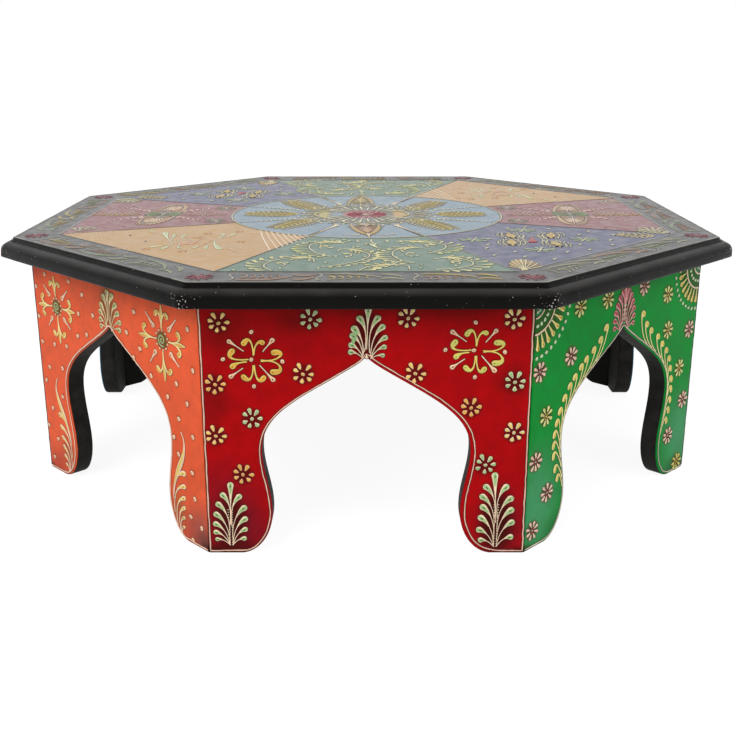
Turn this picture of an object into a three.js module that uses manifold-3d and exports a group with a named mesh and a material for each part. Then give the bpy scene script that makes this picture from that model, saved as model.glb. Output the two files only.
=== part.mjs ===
// Bajot: a low octagonal wooden table.
// Three edge-glued boards make the top, whose rim carries a routed ovolo moulding.
// Eight mitred side panels, each cut to an ogee arch, stand under it and form the feet.
// Wire nails hold the top down to the panels, and panel pins cross the mitred corners.
// Units are millimetres, +Z is up, and the origin is on the floor under the centre of the top.
// The front panel faces -Y.

import * as THREE from 'three';
import { mergeVertices } from 'three/addons/utils/BufferGeometryUtils.js';
import Module from 'manifold-3d';

const manifold = await Module();
manifold.setup();

// Whole table
const tableHeight = 130;
const topAcrossFlats = 381;
const topThickness = 10;
const topOverhang = 14;
const panelThickness = 10;
const glueLine = 0.3;

// Rim moulding, from the painted top face outwards and down
const rimStepDrop = 1.3;
const rimLedgeWidth = 1;
const rimQuirkDrop = 0.7;
const rimOvoloWidth = 5.5;
const rimOvoloDrop = 4.2;
const rimUnderEasing = 0.8;
const rimOvoloSteps = 8;

// Ogee arch in each side panel
const crownHeight = 25;
const shoulderHeight = 51;
const waistHeight = 21;
const legWidthAtShoulder = 26;
const legWidthAtWaist = 30;
const legWidthAtFoot = 16;
const archSteps = 10;

// Wire nails, down through the top into the panels
const nailLength = 30;
const nailShankRadius = 0.9;
const nailHeadRadius = 2;
const nailHeadThickness = 0.8;
const nailPointLength = 2.5;
const nailFromPanelCentre = 45;

// Panel pins, through each panel's end into the next panel
const pinLength = 20;
const pinShankRadius = 0.6;
const pinHeadRadius = 0.9;
const pinHeadThickness = 0.6;
const pinPointLength = 1.6;
const pinSetDepth = 1.5;
const lowPinFromFloor = 26;
const highPinFromTop = 22;

// Fits and cuts
const nailClearance = 0.3;
const cutOverrun = 2;
const weldDistance = 0.001;
const roundSteps = 10;

// Names round the table, counter-clockwise seen from above, and from front to back for the boards
const sideNames = ['front', 'front_right', 'right', 'rear_right', 'rear', 'rear_left', 'left', 'front_left'];
const boardNames = ['front', 'middle', 'rear'];

// The ogee's turning point and the pull of its curves, as shares of the half width and heights
const archShares = {
  turn: { across: 0.42, up: 0.705 },
  tipPull: { across: 0.07, up: 0.92 },
  turnPull: { across: 0.2, up: 0.845 },
  hipPull: { across: 0.76, up: 0.49 },
  shoulderPull: 0.32,
  legPull: 0.37,
  footPull: { across: 0.28, up: 0.07 },
};

// Sizes that follow
const topApothem = topAcrossFlats / 2;
const panelApothem = topApothem - topOverhang;
const panelHeight = tableHeight - topThickness;
const sideAngle = (2 * Math.PI) / sideNames.length;
const mitreAngle = sideAngle / 2;
const panelHalfWidth = panelApothem * Math.tan(mitreAngle);
const archHeight = panelHeight - crownHeight;

// Paint and metal
const paintColors = {
  front: '#a90d12',
  front_right: '#1d8238',
  right: '#1f6f8f',
  rear_right: '#e0603c',
  rear: '#a90d12',
  rear_left: '#1d8238',
  left: '#1f6f8f',
  front_left: '#e0603c',
};
const boardMaterial = new THREE.MeshStandardMaterial({ color: '#151210', roughness: 0.35, metalness: 0 });
const steelMaterial = new THREE.MeshStandardMaterial({ color: '#8a8a88', roughness: 0.45, metalness: 1 });

function solidOf(geometry) {
  const bare = geometry.clone();
  bare.deleteAttribute('normal');
  bare.deleteAttribute('uv');
  const welded = mergeVertices(bare, weldDistance);
  const corners = welded.index.array;
  const kept = [];
  for (let i = 0; i < corners.length; i += 3) {
    const [a, b, c] = corners.slice(i, i + 3);
    if (a !== b && b !== c && c !== a) {
      kept.push(a, b, c);
    }
  }
  return new manifold.Manifold(new manifold.Mesh({
    numProp: 3,
    vertProperties: new Float32Array(welded.attributes.position.array),
    triVerts: new Uint32Array(kept),
  }));
}

function geometryOf(solid) {
  const mesh = solid.getMesh();
  const geometry = new THREE.BufferGeometry();
  geometry.setAttribute('position', new THREE.BufferAttribute(new Float32Array(mesh.vertProperties), 3));
  geometry.setIndex(new THREE.BufferAttribute(new Uint32Array(mesh.triVerts), 1));
  geometry.computeVertexNormals();
  return geometry;
}

// A profile of [radius, height] points turned about +Z
function turned(profile, steps, startAngle = 0) {
  const points = profile.map(([radius, height]) => new THREE.Vector2(radius, height));
  const geometry = new THREE.LatheGeometry(points, steps, startAngle);
  geometry.rotateX(Math.PI / 2);
  return geometry;
}

// The top before it is sawn into boards: the rim's profile carried round the octagon.
// Turning the profile in eight steps mitres it at the corners, so each apothem becomes a corner radius.
function topBlank() {
  const cornerRadius = (apothem) => apothem / Math.cos(mitreAngle);
  const faceApothem = topApothem - rimOvoloWidth - rimLedgeWidth;
  const ledgeHeight = tableHeight - rimStepDrop;
  const ovoloTop = ledgeHeight - rimQuirkDrop;
  const profile = [
    [0, panelHeight],
    [cornerRadius(topApothem - rimUnderEasing), panelHeight],
    [cornerRadius(topApothem), panelHeight + rimUnderEasing],
  ];
  for (let step = 0; step <= rimOvoloSteps; step += 1) {
    const turn = (step / rimOvoloSteps) * (Math.PI / 2);
    profile.push([
      cornerRadius(topApothem - rimOvoloWidth * (1 - Math.cos(turn))),
      ovoloTop - rimOvoloDrop * (1 - Math.sin(turn)),
    ]);
  }
  profile.push(
    [cornerRadius(topApothem - rimOvoloWidth), ledgeHeight],
    [cornerRadius(faceApothem), ledgeHeight],
    [cornerRadius(faceApothem), tableHeight],
    [0, tableHeight],
  );
  return solidOf(turned(profile, sideNames.length, mitreAngle));
}

// A nail or pin hanging down from the origin, with its head's face at the origin
function nailGeometry(length, shankRadius, headRadius, headThickness, pointLength) {
  return turned([
    [0, -length],
    [shankRadius, pointLength - length],
    [shankRadius, -headThickness],
    [headRadius, -headThickness],
    [headRadius, 0],
    [0, 0],
  ], roundSteps);
}

// The hole that a nail or pin leaves in the wood, open above its head
function nailHole(length, shankRadius, headRadius, headThickness, openLength) {
  const holeRadius = shankRadius + nailClearance;
  const pocketRadius = headRadius + nailClearance;
  const pocketFloor = -headThickness - nailClearance;
  return turned([
    [0, -length - nailClearance],
    [holeRadius, -length - nailClearance],
    [holeRadius, pocketFloor],
    [pocketRadius, pocketFloor],
    [pocketRadius, openLength],
    [0, openLength],
  ], roundSteps);
}

// Places in a side's own frame: x along the panel, -y outwards, z up
const nailPlaces = [-nailFromPanelCentre, nailFromPanelCentre].map((across) => (
  new THREE.Matrix4().makeTranslation(across, panelThickness / 2 - panelApothem, tableHeight)
));

// Each pin runs in the middle of the next panel's thickness, so it enters this panel at the corner's angle
function pinPlace(height) {
  const along = new THREE.Vector3(Math.cos(sideAngle), Math.sin(sideAngle), 0);
  const entry = new THREE.Vector3(
    panelHalfWidth - panelThickness / 2 / Math.sin(sideAngle),
    -panelApothem,
    height,
  );
  const head = entry.addScaledVector(along, pinSetDepth);
  const turn = new THREE.Quaternion().setFromUnitVectors(new THREE.Vector3(0, 0, -1), along);
  return new THREE.Matrix4().compose(head, turn, new THREE.Vector3(1, 1, 1));
}
const pinPlaces = [lowPinFromFloor, panelHeight - highPinFromTop].map(pinPlace);

function topNailHole() {
  return nailHole(nailLength, nailShankRadius, nailHeadRadius, nailHeadThickness, cutOverrun);
}

function pinHole() {
  return nailHole(pinLength, pinShankRadius, pinHeadRadius, pinHeadThickness, pinSetDepth + cutOverrun);
}

// The opening's outline: across the panel from its centre, and up from the floor
function archOutline() {
  const tip = new THREE.Vector2(0, archHeight);
  const shoulder = new THREE.Vector2(panelHalfWidth - legWidthAtShoulder, shoulderHeight);
  const waist = new THREE.Vector2(panelHalfWidth - legWidthAtWaist, waistHeight);
  const foot = new THREE.Vector2(panelHalfWidth - legWidthAtFoot, 0);
  const rise = archHeight - shoulderHeight;
  const crown = (share) => new THREE.Vector2(shoulder.x * share.across, shoulderHeight + rise * share.up);
  const turn = crown(archShares.turn);
  const legPull = (shoulderHeight - waistHeight) * archShares.legPull;
  const curves = [
    new THREE.CubicBezierCurve(tip, crown(archShares.tipPull), crown(archShares.turnPull), turn),
    new THREE.CubicBezierCurve(
      turn,
      crown(archShares.hipPull),
      new THREE.Vector2(shoulder.x, shoulderHeight + rise * archShares.shoulderPull),
      shoulder,
    ),
    new THREE.CubicBezierCurve(
      shoulder,
      new THREE.Vector2(shoulder.x, shoulderHeight - legPull),
      new THREE.Vector2(waist.x, waistHeight + legPull),
      waist,
    ),
    new THREE.CubicBezierCurve(
      waist,
      new THREE.Vector2(waist.x, waistHeight * (1 - archShares.legPull)),
      new THREE.Vector2(waist.x + (foot.x - waist.x) * archShares.footPull.across, waistHeight * archShares.footPull.up),
      foot,
    ),
  ];
  const right = curves.flatMap((curve, index) => curve.getPoints(archSteps).slice(index === 0 ? 0 : 1));
  const left = right.slice(1).map((point) => new THREE.Vector2(-point.x, point.y)).reverse();
  return [
    new THREE.Vector2(-foot.x, -cutOverrun),
    ...left,
    ...right,
    new THREE.Vector2(foot.x, -cutOverrun),
  ];
}

// One side panel in its side's frame, mitred at both ends, with its arch and its nail and pin holes
function panelGeometry() {
  const jointGap = glueLine / 2 / Math.cos(mitreAngle);
  const innerHalfWidth = (panelApothem - panelThickness) * Math.tan(mitreAngle);
  const plan = new THREE.Shape([
    new THREE.Vector2(jointGap - panelHalfWidth, -panelApothem),
    new THREE.Vector2(panelHalfWidth - jointGap, -panelApothem),
    new THREE.Vector2(innerHalfWidth - jointGap, panelThickness - panelApothem),
    new THREE.Vector2(jointGap - innerHalfWidth, panelThickness - panelApothem),
  ]);
  let panel = solidOf(new THREE.ExtrudeGeometry(plan, { depth: panelHeight, bevelEnabled: false }));

  const archDepth = panelThickness + 2 * cutOverrun;
  const arch = new THREE.ExtrudeGeometry(new THREE.Shape(archOutline()), { depth: archDepth, bevelEnabled: false });
  arch.rotateX(Math.PI / 2);
  arch.translate(0, archDepth - cutOverrun - panelApothem, 0);
  panel = panel.subtract(solidOf(arch));

  const fromLastSide = new THREE.Matrix4().makeRotationZ(-sideAngle);
  for (const place of nailPlaces) {
    panel = panel.subtract(solidOf(topNailHole().applyMatrix4(place)));
  }
  for (const place of pinPlaces) {
    panel = panel.subtract(solidOf(pinHole().applyMatrix4(place)));
    panel = panel.subtract(solidOf(pinHole().applyMatrix4(place).applyMatrix4(fromLastSide)));
  }
  return geometryOf(panel);
}

function named(name, geometry, material) {
  const mesh = new THREE.Mesh(geometry, material);
  mesh.name = name;
  return mesh;
}

function placed(mesh, place) {
  place.decompose(mesh.position, mesh.quaternion, mesh.scale);
  return mesh;
}

function makeSide(name, index, geometries) {
  const side = new THREE.Group();
  side.rotation.z = index * sideAngle;
  const paint = new THREE.MeshStandardMaterial({ color: paintColors[name], roughness: 0.4, metalness: 0 });
  side.add(named(`${name}_panel`, geometries.panel, paint));
  nailPlaces.forEach((place, end) => {
    side.add(placed(named(`${name}_top_nail_${end + 1}`, geometries.nail, steelMaterial), place));
  });
  pinPlaces.forEach((place, end) => {
    side.add(placed(named(`${name}_mitre_pin_${end + 1}`, geometries.pin, steelMaterial), place));
  });
  return side;
}

// The top, drilled for the nails of every side and sawn along X into its boards
function makeBoards() {
  let top = topBlank();
  sideNames.forEach((name, index) => {
    const sideTurn = new THREE.Matrix4().makeRotationZ(index * sideAngle);
    for (const place of nailPlaces) {
      top = top.subtract(solidOf(topNailHole().applyMatrix4(place).applyMatrix4(sideTurn)));
    }
  });
  const boardWidth = topAcrossFlats / boardNames.length;
  return boardNames.map((name, index) => {
    const slab = new THREE.BoxGeometry(topAcrossFlats, boardWidth, topThickness);
    slab.translate(0, boardWidth * (index + 1 / 2) - topApothem, tableHeight - topThickness / 2);
    return named(`top_board_${name}`, geometryOf(top.intersect(solidOf(slab))), boardMaterial);
  });
}

const geometries = {
  panel: panelGeometry(),
  nail: nailGeometry(nailLength, nailShankRadius, nailHeadRadius, nailHeadThickness, nailPointLength),
  pin: nailGeometry(pinLength, pinShankRadius, pinHeadRadius, pinHeadThickness, pinPointLength),
};

const bajot = new THREE.Group();
bajot.add(...makeBoards());
sideNames.forEach((name, index) => {
  bajot.add(makeSide(name, index, geometries));
});

export default bajot;
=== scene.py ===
import math
import random
from contextlib import contextmanager

import bpy
import numpy as np
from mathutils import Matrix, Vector
from mathutils.geometry import delaunay_2d_cdt


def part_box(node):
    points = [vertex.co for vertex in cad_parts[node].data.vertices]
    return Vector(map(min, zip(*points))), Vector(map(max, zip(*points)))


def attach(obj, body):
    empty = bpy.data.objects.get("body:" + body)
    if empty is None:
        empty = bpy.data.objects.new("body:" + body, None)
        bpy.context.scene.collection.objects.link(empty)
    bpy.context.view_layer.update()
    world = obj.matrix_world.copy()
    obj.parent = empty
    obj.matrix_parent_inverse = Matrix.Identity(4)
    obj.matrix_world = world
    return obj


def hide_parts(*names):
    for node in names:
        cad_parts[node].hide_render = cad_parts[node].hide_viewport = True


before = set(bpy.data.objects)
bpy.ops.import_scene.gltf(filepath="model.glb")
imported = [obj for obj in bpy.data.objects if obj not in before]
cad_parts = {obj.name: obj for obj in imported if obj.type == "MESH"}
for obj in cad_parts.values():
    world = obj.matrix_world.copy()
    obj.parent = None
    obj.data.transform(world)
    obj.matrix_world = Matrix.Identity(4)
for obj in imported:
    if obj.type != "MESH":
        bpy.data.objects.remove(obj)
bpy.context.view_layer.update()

# A bajot, a low octagonal wooden table, painted with raised lines and drops.
# Drawing is done in millimetres on flat faces. A side panel's face has u to the right and v up,
# seen from outside. The top's face has x along +X and y along +Y, with the front towards -Y.

MM = 0.001
SIDES = ["front", "front_right", "right", "rear_right", "rear", "rear_left", "left", "front_left"]
BOARDS = ["top_board_front", "top_board_middle", "top_board_rear"]
SIDE_ANGLE = 2 * math.pi / len(SIDES)
MITRE = math.tan(SIDE_ANGLE / 2)
# How much farther an octagon's corners reach than its sides
CORNER_REACH = 1 / math.cos(SIDE_ANGLE / 2)

# Sizes read from the frame
panel_low, panel_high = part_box("front_panel")
board_low, board_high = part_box("top_board_front")
TABLE_HEIGHT = board_high.z / MM
TOP_APOTHEM = -board_low.y / MM
TOP_THICKNESS = (board_high.z - board_low.z) / MM
PANEL_HEIGHT = panel_high.z / MM
PANEL_APOTHEM = -panel_low.y / MM
PANEL_THICKNESS = (panel_high.y - panel_low.y) / MM
PANEL_HALF_WIDTH = panel_high.x / MM

# The ogee arch, as the panels are cut
CROWN_HEIGHT = 25
SHOULDER_HEIGHT = 51
WAIST_HEIGHT = 21
LEG_WIDTH_AT_SHOULDER = 26
LEG_WIDTH_AT_WAIST = 30
LEG_WIDTH_AT_FOOT = 16
ARCH_HEIGHT = PANEL_HEIGHT - CROWN_HEIGHT
# Points that shape its curve. Those over the shoulder are shares of its half width and of its rise
ARCH_TURN = (0.42, 0.705)
ARCH_TIP_PULL = (0.07, 0.92)
ARCH_TURN_PULL = (0.2, 0.845)
ARCH_HIP_PULL = (0.76, 0.49)
ARCH_SHOULDER_PULL = 0.32
ARCH_LEG_PULL = 0.37
ARCH_FOOT_PULL = (0.28, 0.07)

# The rim moulding
RIM_STEP_DROP = 1.3
RIM_LEDGE_WIDTH = 1
RIM_QUIRK_DROP = 0.7
RIM_OVOLO_WIDTH = 5.5
RIM_OVOLO_DROP = 4.2
RIM_UNDER_EASING = 0.8
FACE_APOTHEM = TOP_APOTHEM - RIM_OVOLO_WIDTH - RIM_LEDGE_WIDTH

# The painted design of the top: a disc, eight sectors round it and a dark band
DISC_RADIUS = 79
BAND_APOTHEM = 162
# The panels and the sectors come in four kinds, so those opposite each other are alike
KINDS = 4

# How far apart the points of a panel's face are, and the rings of the top
GROUND_STEP = 1.25
TOP_STEP = 2.0
# How many points each side of a ring has
COLUMNS = 64
PAINT_LIFT = 0.12
PANEL_EASING = 0.8


def linear(colour):
    """The linear values of an sRGB colour written as six hex digits."""
    values = [int(colour[i:i + 2], 16) / 255 for i in (0, 2, 4)]
    return np.array([v / 12.92 if v < 0.04045 else ((v + 0.055) / 1.055) ** 2.4 for v in values])


# Paints, as sRGB
CREAM = "efd3b4"
PEACH = "edb48a"
GOLD = "d8a63c"
YELLOW = "e2c566"
LIME = "c2c463"
LEAF = "94bd7c"
MINT = "bdd2a8"
PINK = "dd9895"
ROSE = "a83f4e"
OLIVE = "46501c"
DARK_BROWN = "2a0f05"
BLACK = "070605"
INSIDE_BLACK = "2b2a28"
# A painted highlight for the upper half of the rim's ovolo, not a paint of its own
OVOLO_HIGHLIGHT_GREY = "2f2d2c"


def smooth_step(low, high, value):
    """Zero at low and one at high, with an eased way between. low may be the greater one."""
    t = np.clip((value - low) / (high - low), 0, 1)
    return t * t * (3 - 2 * t)


NOISE_SIZE = 64
NOISE_TABLE = np.random.default_rng(7).random((NOISE_SIZE,) * 3) * 2 - 1


def noise(points, size):
    """Smooth noise from -1 to 1 at each point, with features about as large as size."""
    cell = np.asarray(points, float) / size
    low = np.floor(cell).astype(int)
    part = cell - low
    part = part * part * (3 - 2 * part)
    total = 0
    for corner in range(8):
        step = np.array([corner & 1, corner >> 1 & 1, corner >> 2 & 1])
        weight = np.prod(np.where(step, part, 1 - part), axis=1)
        spot = (low + step) % NOISE_SIZE
        total = total + weight * NOISE_TABLE[spot[:, 0], spot[:, 1], spot[:, 2]]
    return total


def bezier(points, steps):
    """Points along a Bezier curve with any number of control points."""
    degree = len(points) - 1
    t = np.linspace(0, 1, steps)[:, None]
    return sum(
        math.comb(degree, i) * (1 - t) ** (degree - i) * t ** i * np.array(p, float)
        for i, p in enumerate(points)
    )


def resample(path, spacing):
    """Points at an even spacing along a path, ends included."""
    path = np.asarray(path, float)
    steps = np.linalg.norm(np.diff(path, axis=0), axis=1)
    distance = np.concatenate([[0], np.cumsum(steps)])
    count = max(int(round(distance[-1] / spacing)), 1) + 1
    spots = np.linspace(0, distance[-1], count)
    return np.column_stack([np.interp(spots, distance, path[:, i]) for i in range(2)])


def through(points, spacing=1.0):
    """A smooth curve through each of the points, at an even spacing."""
    points = np.array(points, float)
    ends = np.vstack([2 * points[0] - points[1], points, 2 * points[-1] - points[-2]])
    t = np.linspace(0, 1, 8, endpoint=False)[:, None]
    runs = [
        b + ((c - a) * t + (2 * a - 5 * b + 4 * c - d) * t ** 2 + (3 * b - a - 3 * c + d) * t ** 3) / 2
        for a, b, c, d in zip(ends, ends[1:], ends[2:], ends[3:])
    ]
    return resample(np.vstack([*runs, points[-1:]]), spacing)


def directions(path):
    """The direction of a path at each of its points."""
    along = np.gradient(np.asarray(path, float), axis=0)
    return along / np.maximum(np.linalg.norm(along, axis=1), 1e-9)[:, None]


def towards(angle, distance):
    return np.array([math.cos(angle), math.sin(angle)]) * distance


def turned(points, angle):
    """The points turned counter-clockwise round zero."""
    cos, sin = math.cos(angle), math.sin(angle)
    return np.asarray(points, float) @ np.array([[cos, sin], [-sin, cos]])


# Meshes

def make_piece(name, points, faces, colours=None, slots=None, domain="POINT"):
    """A mesh object in metres from points in millimetres, with its paint colours."""
    mesh = bpy.data.meshes.new(name)
    mesh.from_pydata((np.asarray(points) * MM).tolist(), [], faces)
    if colours is not None:
        paint = mesh.color_attributes.new(name="Paint", type="FLOAT_COLOR", domain=domain)
        rgba = np.ones((len(colours), 4))
        rgba[:, :3] = colours
        paint.data.foreach_set("color", rgba.astype(np.float32).ravel())
    if slots is not None:
        mesh.polygons.foreach_set("material_index", slots)
    mesh.polygons.foreach_set("use_smooth", [True] * len(mesh.polygons))
    mesh.update()
    piece = bpy.data.objects.new(name, mesh)
    bpy.context.scene.collection.objects.link(piece)
    return piece


def ring_quads(rings, size):
    """The faces between closed rings of points that follow each other, by point number."""
    ring = np.arange(rings - 1)[:, None] * size
    j = np.arange(size)
    k = (j + 1) % size
    return np.stack([ring + j, ring + k, ring + size + k, ring + size + j], axis=-1)


def panel_placer(index):
    """Carries a panel face's (u, v, out) to the table's frame."""
    def place(points):
        points = np.asarray(points, float)
        flat = np.stack([points[:, 0], -PANEL_APOTHEM - points[:, 2]], axis=1)
        return np.column_stack([turned(flat, index * SIDE_ANGLE), points[:, 1]])

    return place


def top_placer(points):
    return np.asarray(points, float) + (0, 0, TABLE_HEIGHT + PAINT_LIFT)


# Raised paint

# Across a stroke: share of the half width, share of the height, and 0 halo, 1 edge or 2 filling
FINE_SECTION = np.array([
    (-1, 0, 0), (-1, 0.06, 0), (-0.94, 0.4, 1), (-0.62, 0.86, 1), (-0.48, 0.93, 2), (0, 1, 2),
    (0.48, 0.93, 2), (0.62, 0.86, 1), (0.94, 0.4, 1), (1, 0.06, 0), (1, 0, 0),
])
PLAIN_SECTION = np.array([
    (-1, 0, 0), (-1, 0.06, 0), (-0.85, 0.55, 1), (0, 1, 2), (0.85, 0.55, 1), (1, 0.06, 0), (1, 0, 0),
])
FINE_CAPS = np.radians([35, 62, 84])
PLAIN_CAPS = np.radians([45, 82])
STROKE_SINK = 0.3
# How much the tone of a stroke and the height of its foot may differ from those of others
TONE_CHANGE = 0.08
LIFT_CHANGE = 0.03
# How far the foot of a stroke without a halo spreads
BARE_EDGE = 0.02
# A stroke shows its filling where it is wider than this share of its widest place
FILL_SHARE = 0.45
HALO_LIFT = 0.03


def stroke_height(width):
    """How high thick paint stands in a stroke of this half width."""
    return np.minimum(0.85 * width, 0.34 + 0.2 * width)


class Relief:
    """Strokes of thick paint on one flat face, each a closed body."""

    def __init__(self, seed, halo, halo_width=0.28, rise=1.0):
        self.random = random.Random(seed)
        self.halo = halo
        self.halo_width = halo_width
        self.rise = rise
        self.points = []
        self.quads = []
        self.ends = []
        self.colours = []
        self.count = 0
        self.shades = []
        self.at((0, 0))

    def at(self, origin, angle=0.0):
        """Moves and turns the sheet: what is drawn next has its zero at origin."""
        self.origin = np.asarray(origin, float)
        self.angle = angle
        return self

    @contextmanager
    def moved(self, origin):
        """Draws with its zero at origin, and then goes back."""
        kept = self.origin
        self.origin = turned(origin, self.angle) + kept
        yield
        self.origin = kept

    def vary(self, amount):
        return self.random.uniform(-amount, amount)

    def stroke(self, path, widths, edge, fill=None, lift=0.0, halo=True, fine=False):
        """A raised line along path, which is as wide each way as widths say, with round ends."""
        path = turned(path, self.angle) + self.origin
        along = directions(path)
        widths = np.broadcast_to(np.asarray(widths, float), (len(path),))
        section = FINE_SECTION if fine else PLAIN_SECTION
        caps = FINE_CAPS if fine else PLAIN_CAPS
        repeat = [len(caps) + 1] + [1] * (len(path) - 2) + [len(caps) + 1]
        centre = np.repeat(path, repeat, axis=0)[:, None, :]
        forward = np.repeat(along, repeat, axis=0)[:, None, :]
        across = np.stack([forward[..., 1], -forward[..., 0]], axis=-1)
        width = np.repeat(widths, repeat)[:, None]
        cap = np.concatenate([-caps[::-1], np.zeros(len(path)), caps])[:, None]
        share = np.append(section[:, 0], (1, -1))
        up = np.append(section[:, 1], (0, 0))
        reach = (self.halo_width if halo else BARE_EDGE) * (up == 0)
        radius = width + reach
        flat = centre + across * (share * radius * np.cos(cap))[..., None]
        flat = flat + forward * (radius * np.sin(cap))[..., None]
        ground = HALO_LIFT + self.random.uniform(0, LIFT_CHANGE) + lift
        height = ground + up * stroke_height(width) * self.rise * np.cos(cap)
        height[:, -2:] = lift - STROKE_SINK
        rings, size = height.shape
        self.points.append(np.concatenate([flat, height[..., None]], axis=2).reshape(-1, 3))
        tone = 1 + self.vary(TONE_CHANGE)
        paints = np.array([linear(self.halo), linear(edge) * tone, linear(fill or edge) * tone])
        kinds = np.tile(np.append(section[:, 2], (0, 0)).astype(int), (rings, 1))
        kinds[(kinds == 2) & (width < FILL_SHARE * widths.max())] = 1
        self.colours.append(paints[kinds].reshape(-1, 3))
        self.quads.append(self.count + ring_quads(rings, size).reshape(-1, 4))
        self.ends.append(tuple(range(self.count + size - 1, self.count - 1, -1)))
        self.count += rings * size
        self.ends.append(tuple(range(self.count - size, self.count)))

    def dot(self, centre, radius, edge, fill=None, pricked=False, lift=0.0):
        centre = np.asarray(centre, float)
        lean = towards(self.random.uniform(0, math.pi), radius * 0.14)
        self.stroke([centre - lean, centre + lean], radius * 0.94, edge, fill, lift)
        if pricked:
            self.prick(centre, radius)

    def prick(self, centre, radius, lean=(0.05, 0.05)):
        """The small dark pit that the cone's tip leaves, as a spot of darker paint."""
        kept, self.halo = self.halo, OLIVE
        size = min(0.24, radius * 0.22)
        self.stroke([np.asarray(centre) - lean, np.asarray(centre) + lean], size, OLIVE,
                    lift=stroke_height(radius) * self.rise - 0.1, halo=False)
        self.halo = kept

    def leaf(self, root, head, width, edge, fill=None, bend=0.0, tail=0.24, swell=0.4, pricked=True,
             fine=True, taper=1.25):
        """A drop with a thin tail from root and a round head centred on head. bend bows its stem."""
        root = np.asarray(root, float)
        head = np.asarray(head, float)
        span = head - root
        side = np.array([-span[1], span[0]]) * bend
        path = bezier([root, root + span * 0.4 + side, root + span * 0.8 + side * 0.9, head], 10)
        share = np.clip((np.linspace(0, 1, len(path)) - swell) / (1 - swell), 0, 1)
        widths = tail + (width - tail) * share ** taper
        self.stroke(path, widths, edge, fill, fine=fine)
        if pricked:
            lean = (path[-1] - path[-2]) / np.linalg.norm(path[-1] - path[-2])
            self.prick(head - lean * width * 0.2, width, lean * width * 0.3)

    def drop(self, root, head, width, edge, fill=None, swell=0.0, tail=0.24):
        """A small plain leaf that the cone's tip leaves no pit in."""
        self.leaf(root, head, width, edge, fill, tail=tail, swell=swell, pricked=False, fine=False)

    def comma(self, points, width, edge, fill=None, tail=0.3):
        """A stroke along a Bezier curve that swells late into a round head."""
        path = bezier(points, 14)
        share = np.clip((np.linspace(0, 1, len(path)) - 0.42) / 0.5, 0, 1)
        self.stroke(path, tail + (width - tail) * share ** 1.3, edge, fill, fine=True)
        self.prick(path[-1], width)

    def line(self, path, width, colour):
        """A drawn line, with the small changes of width that a hand makes."""
        path = np.asarray(path, float)
        changes = np.array([1 + self.vary(0.2) for _ in path])
        shifts = np.array([[self.vary(0.1), self.vary(0.1)] for _ in path])
        self.stroke(path + shifts, width * changes, colour)

    def beads(self, start, end, count, first, last, edge, fill=None):
        """A row of dots whose size goes from first to last."""
        start = np.asarray(start, float)
        end = np.asarray(end, float)
        for i in range(count):
            t = i / max(count - 1, 1)
            self.dot(start + (end - start) * t, first + (last - first) * t, edge, fill)

    def ring(self, centre, radius, count, size, edge, fill=None, start=0.0, stop=math.tau):
        for i in range(count):
            self.dot(np.asarray(centre) + towards(start + (stop - start) * (i + 0.5) / count, radius),
                     size, edge, fill)

    def shade(self, centre, radii, colour, strength, angle=0.0, hard=0.0):
        """A patch of other colour in the ground under the strokes, soft from hard times its size."""
        centre = turned(centre, self.angle) + self.origin
        self.shades.append((centre, radii, linear(colour), strength, angle + self.angle, hard))

    def shade_each(self, places, colour, strength, hard=0.0):
        """The same shade at each place, given as its centre and radii."""
        for centre, radii in places:
            self.shade(centre, radii, colour, strength, hard=hard)

    def apply_shades(self, points, colours):
        """Mixes each shade into the colours of the points that it covers."""
        for centre, radii, colour, strength, angle, hard in self.shades:
            away = turned(points[:, :2] - centre, -angle)
            distance = np.hypot(away[:, 0] / radii[0], away[:, 1] / radii[1])
            amount = strength * (1 - smooth_step(hard, 1.0, distance))
            colours += (colour - colours) * amount[:, None]

    def make(self, name, place, material, slot):
        """One mesh of all the strokes, carried to its face by place."""
        faces = np.concatenate(self.quads).tolist() + self.ends
        piece = make_piece(name, place(np.concatenate(self.points)), faces, np.concatenate(self.colours))
        piece.data.materials.append(material)
        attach(piece, "root")
        return piece


# Motifs

def motif(draw):
    """Lets a motif draw round zero: whoever calls it names its centre."""
    def draw_at(art, centre, *details, **options):
        with art.moved(centre):
            draw(art, *details, **options)

    return draw_at


def line_frame(start, end):
    """A line's start, its span, its length, its angle, and the directions along it and to its right."""
    start = np.asarray(start, float)
    span = np.asarray(end, float) - start
    length = np.linalg.norm(span)
    along = span / length
    return start, span, length, math.atan2(span[1], span[0]), along, np.array([along[1], -along[0]])


# Each petal's direction in degrees, how far out its head lies and how long its tail is
PETALS = [(117, 4.4, 1.9), (62, 4.2, 1.9), (160, 3.7, 1.1), (8, 3.9, 1.1), (210, 3.7, 1.0), (322, 3.4, 1.0),
          (265, 3.4, 1.0)]


@motif
def flower(art, edge, fill, shade=None):
    """Seven drops round a dot. The two upper ones have tails, and the rest are short."""
    if shade is not None:
        art.shade((0, 0), (6.2, 6.2), shade, 0.75, hard=0.45)
    turn = art.vary(10)
    for degrees, reach, tail in PETALS:
        angle = math.radians(degrees + turn + art.vary(6))
        reach += art.vary(0.25)
        art.leaf(towards(angle, reach - tail), towards(angle, reach), 0.98 + art.vary(0.08), edge, fill,
                 tail=0.4, swell=0.0, pricked=False, taper=0.7)
    art.dot((0, 0), 0.85, edge, fill, pricked=True)


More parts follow.
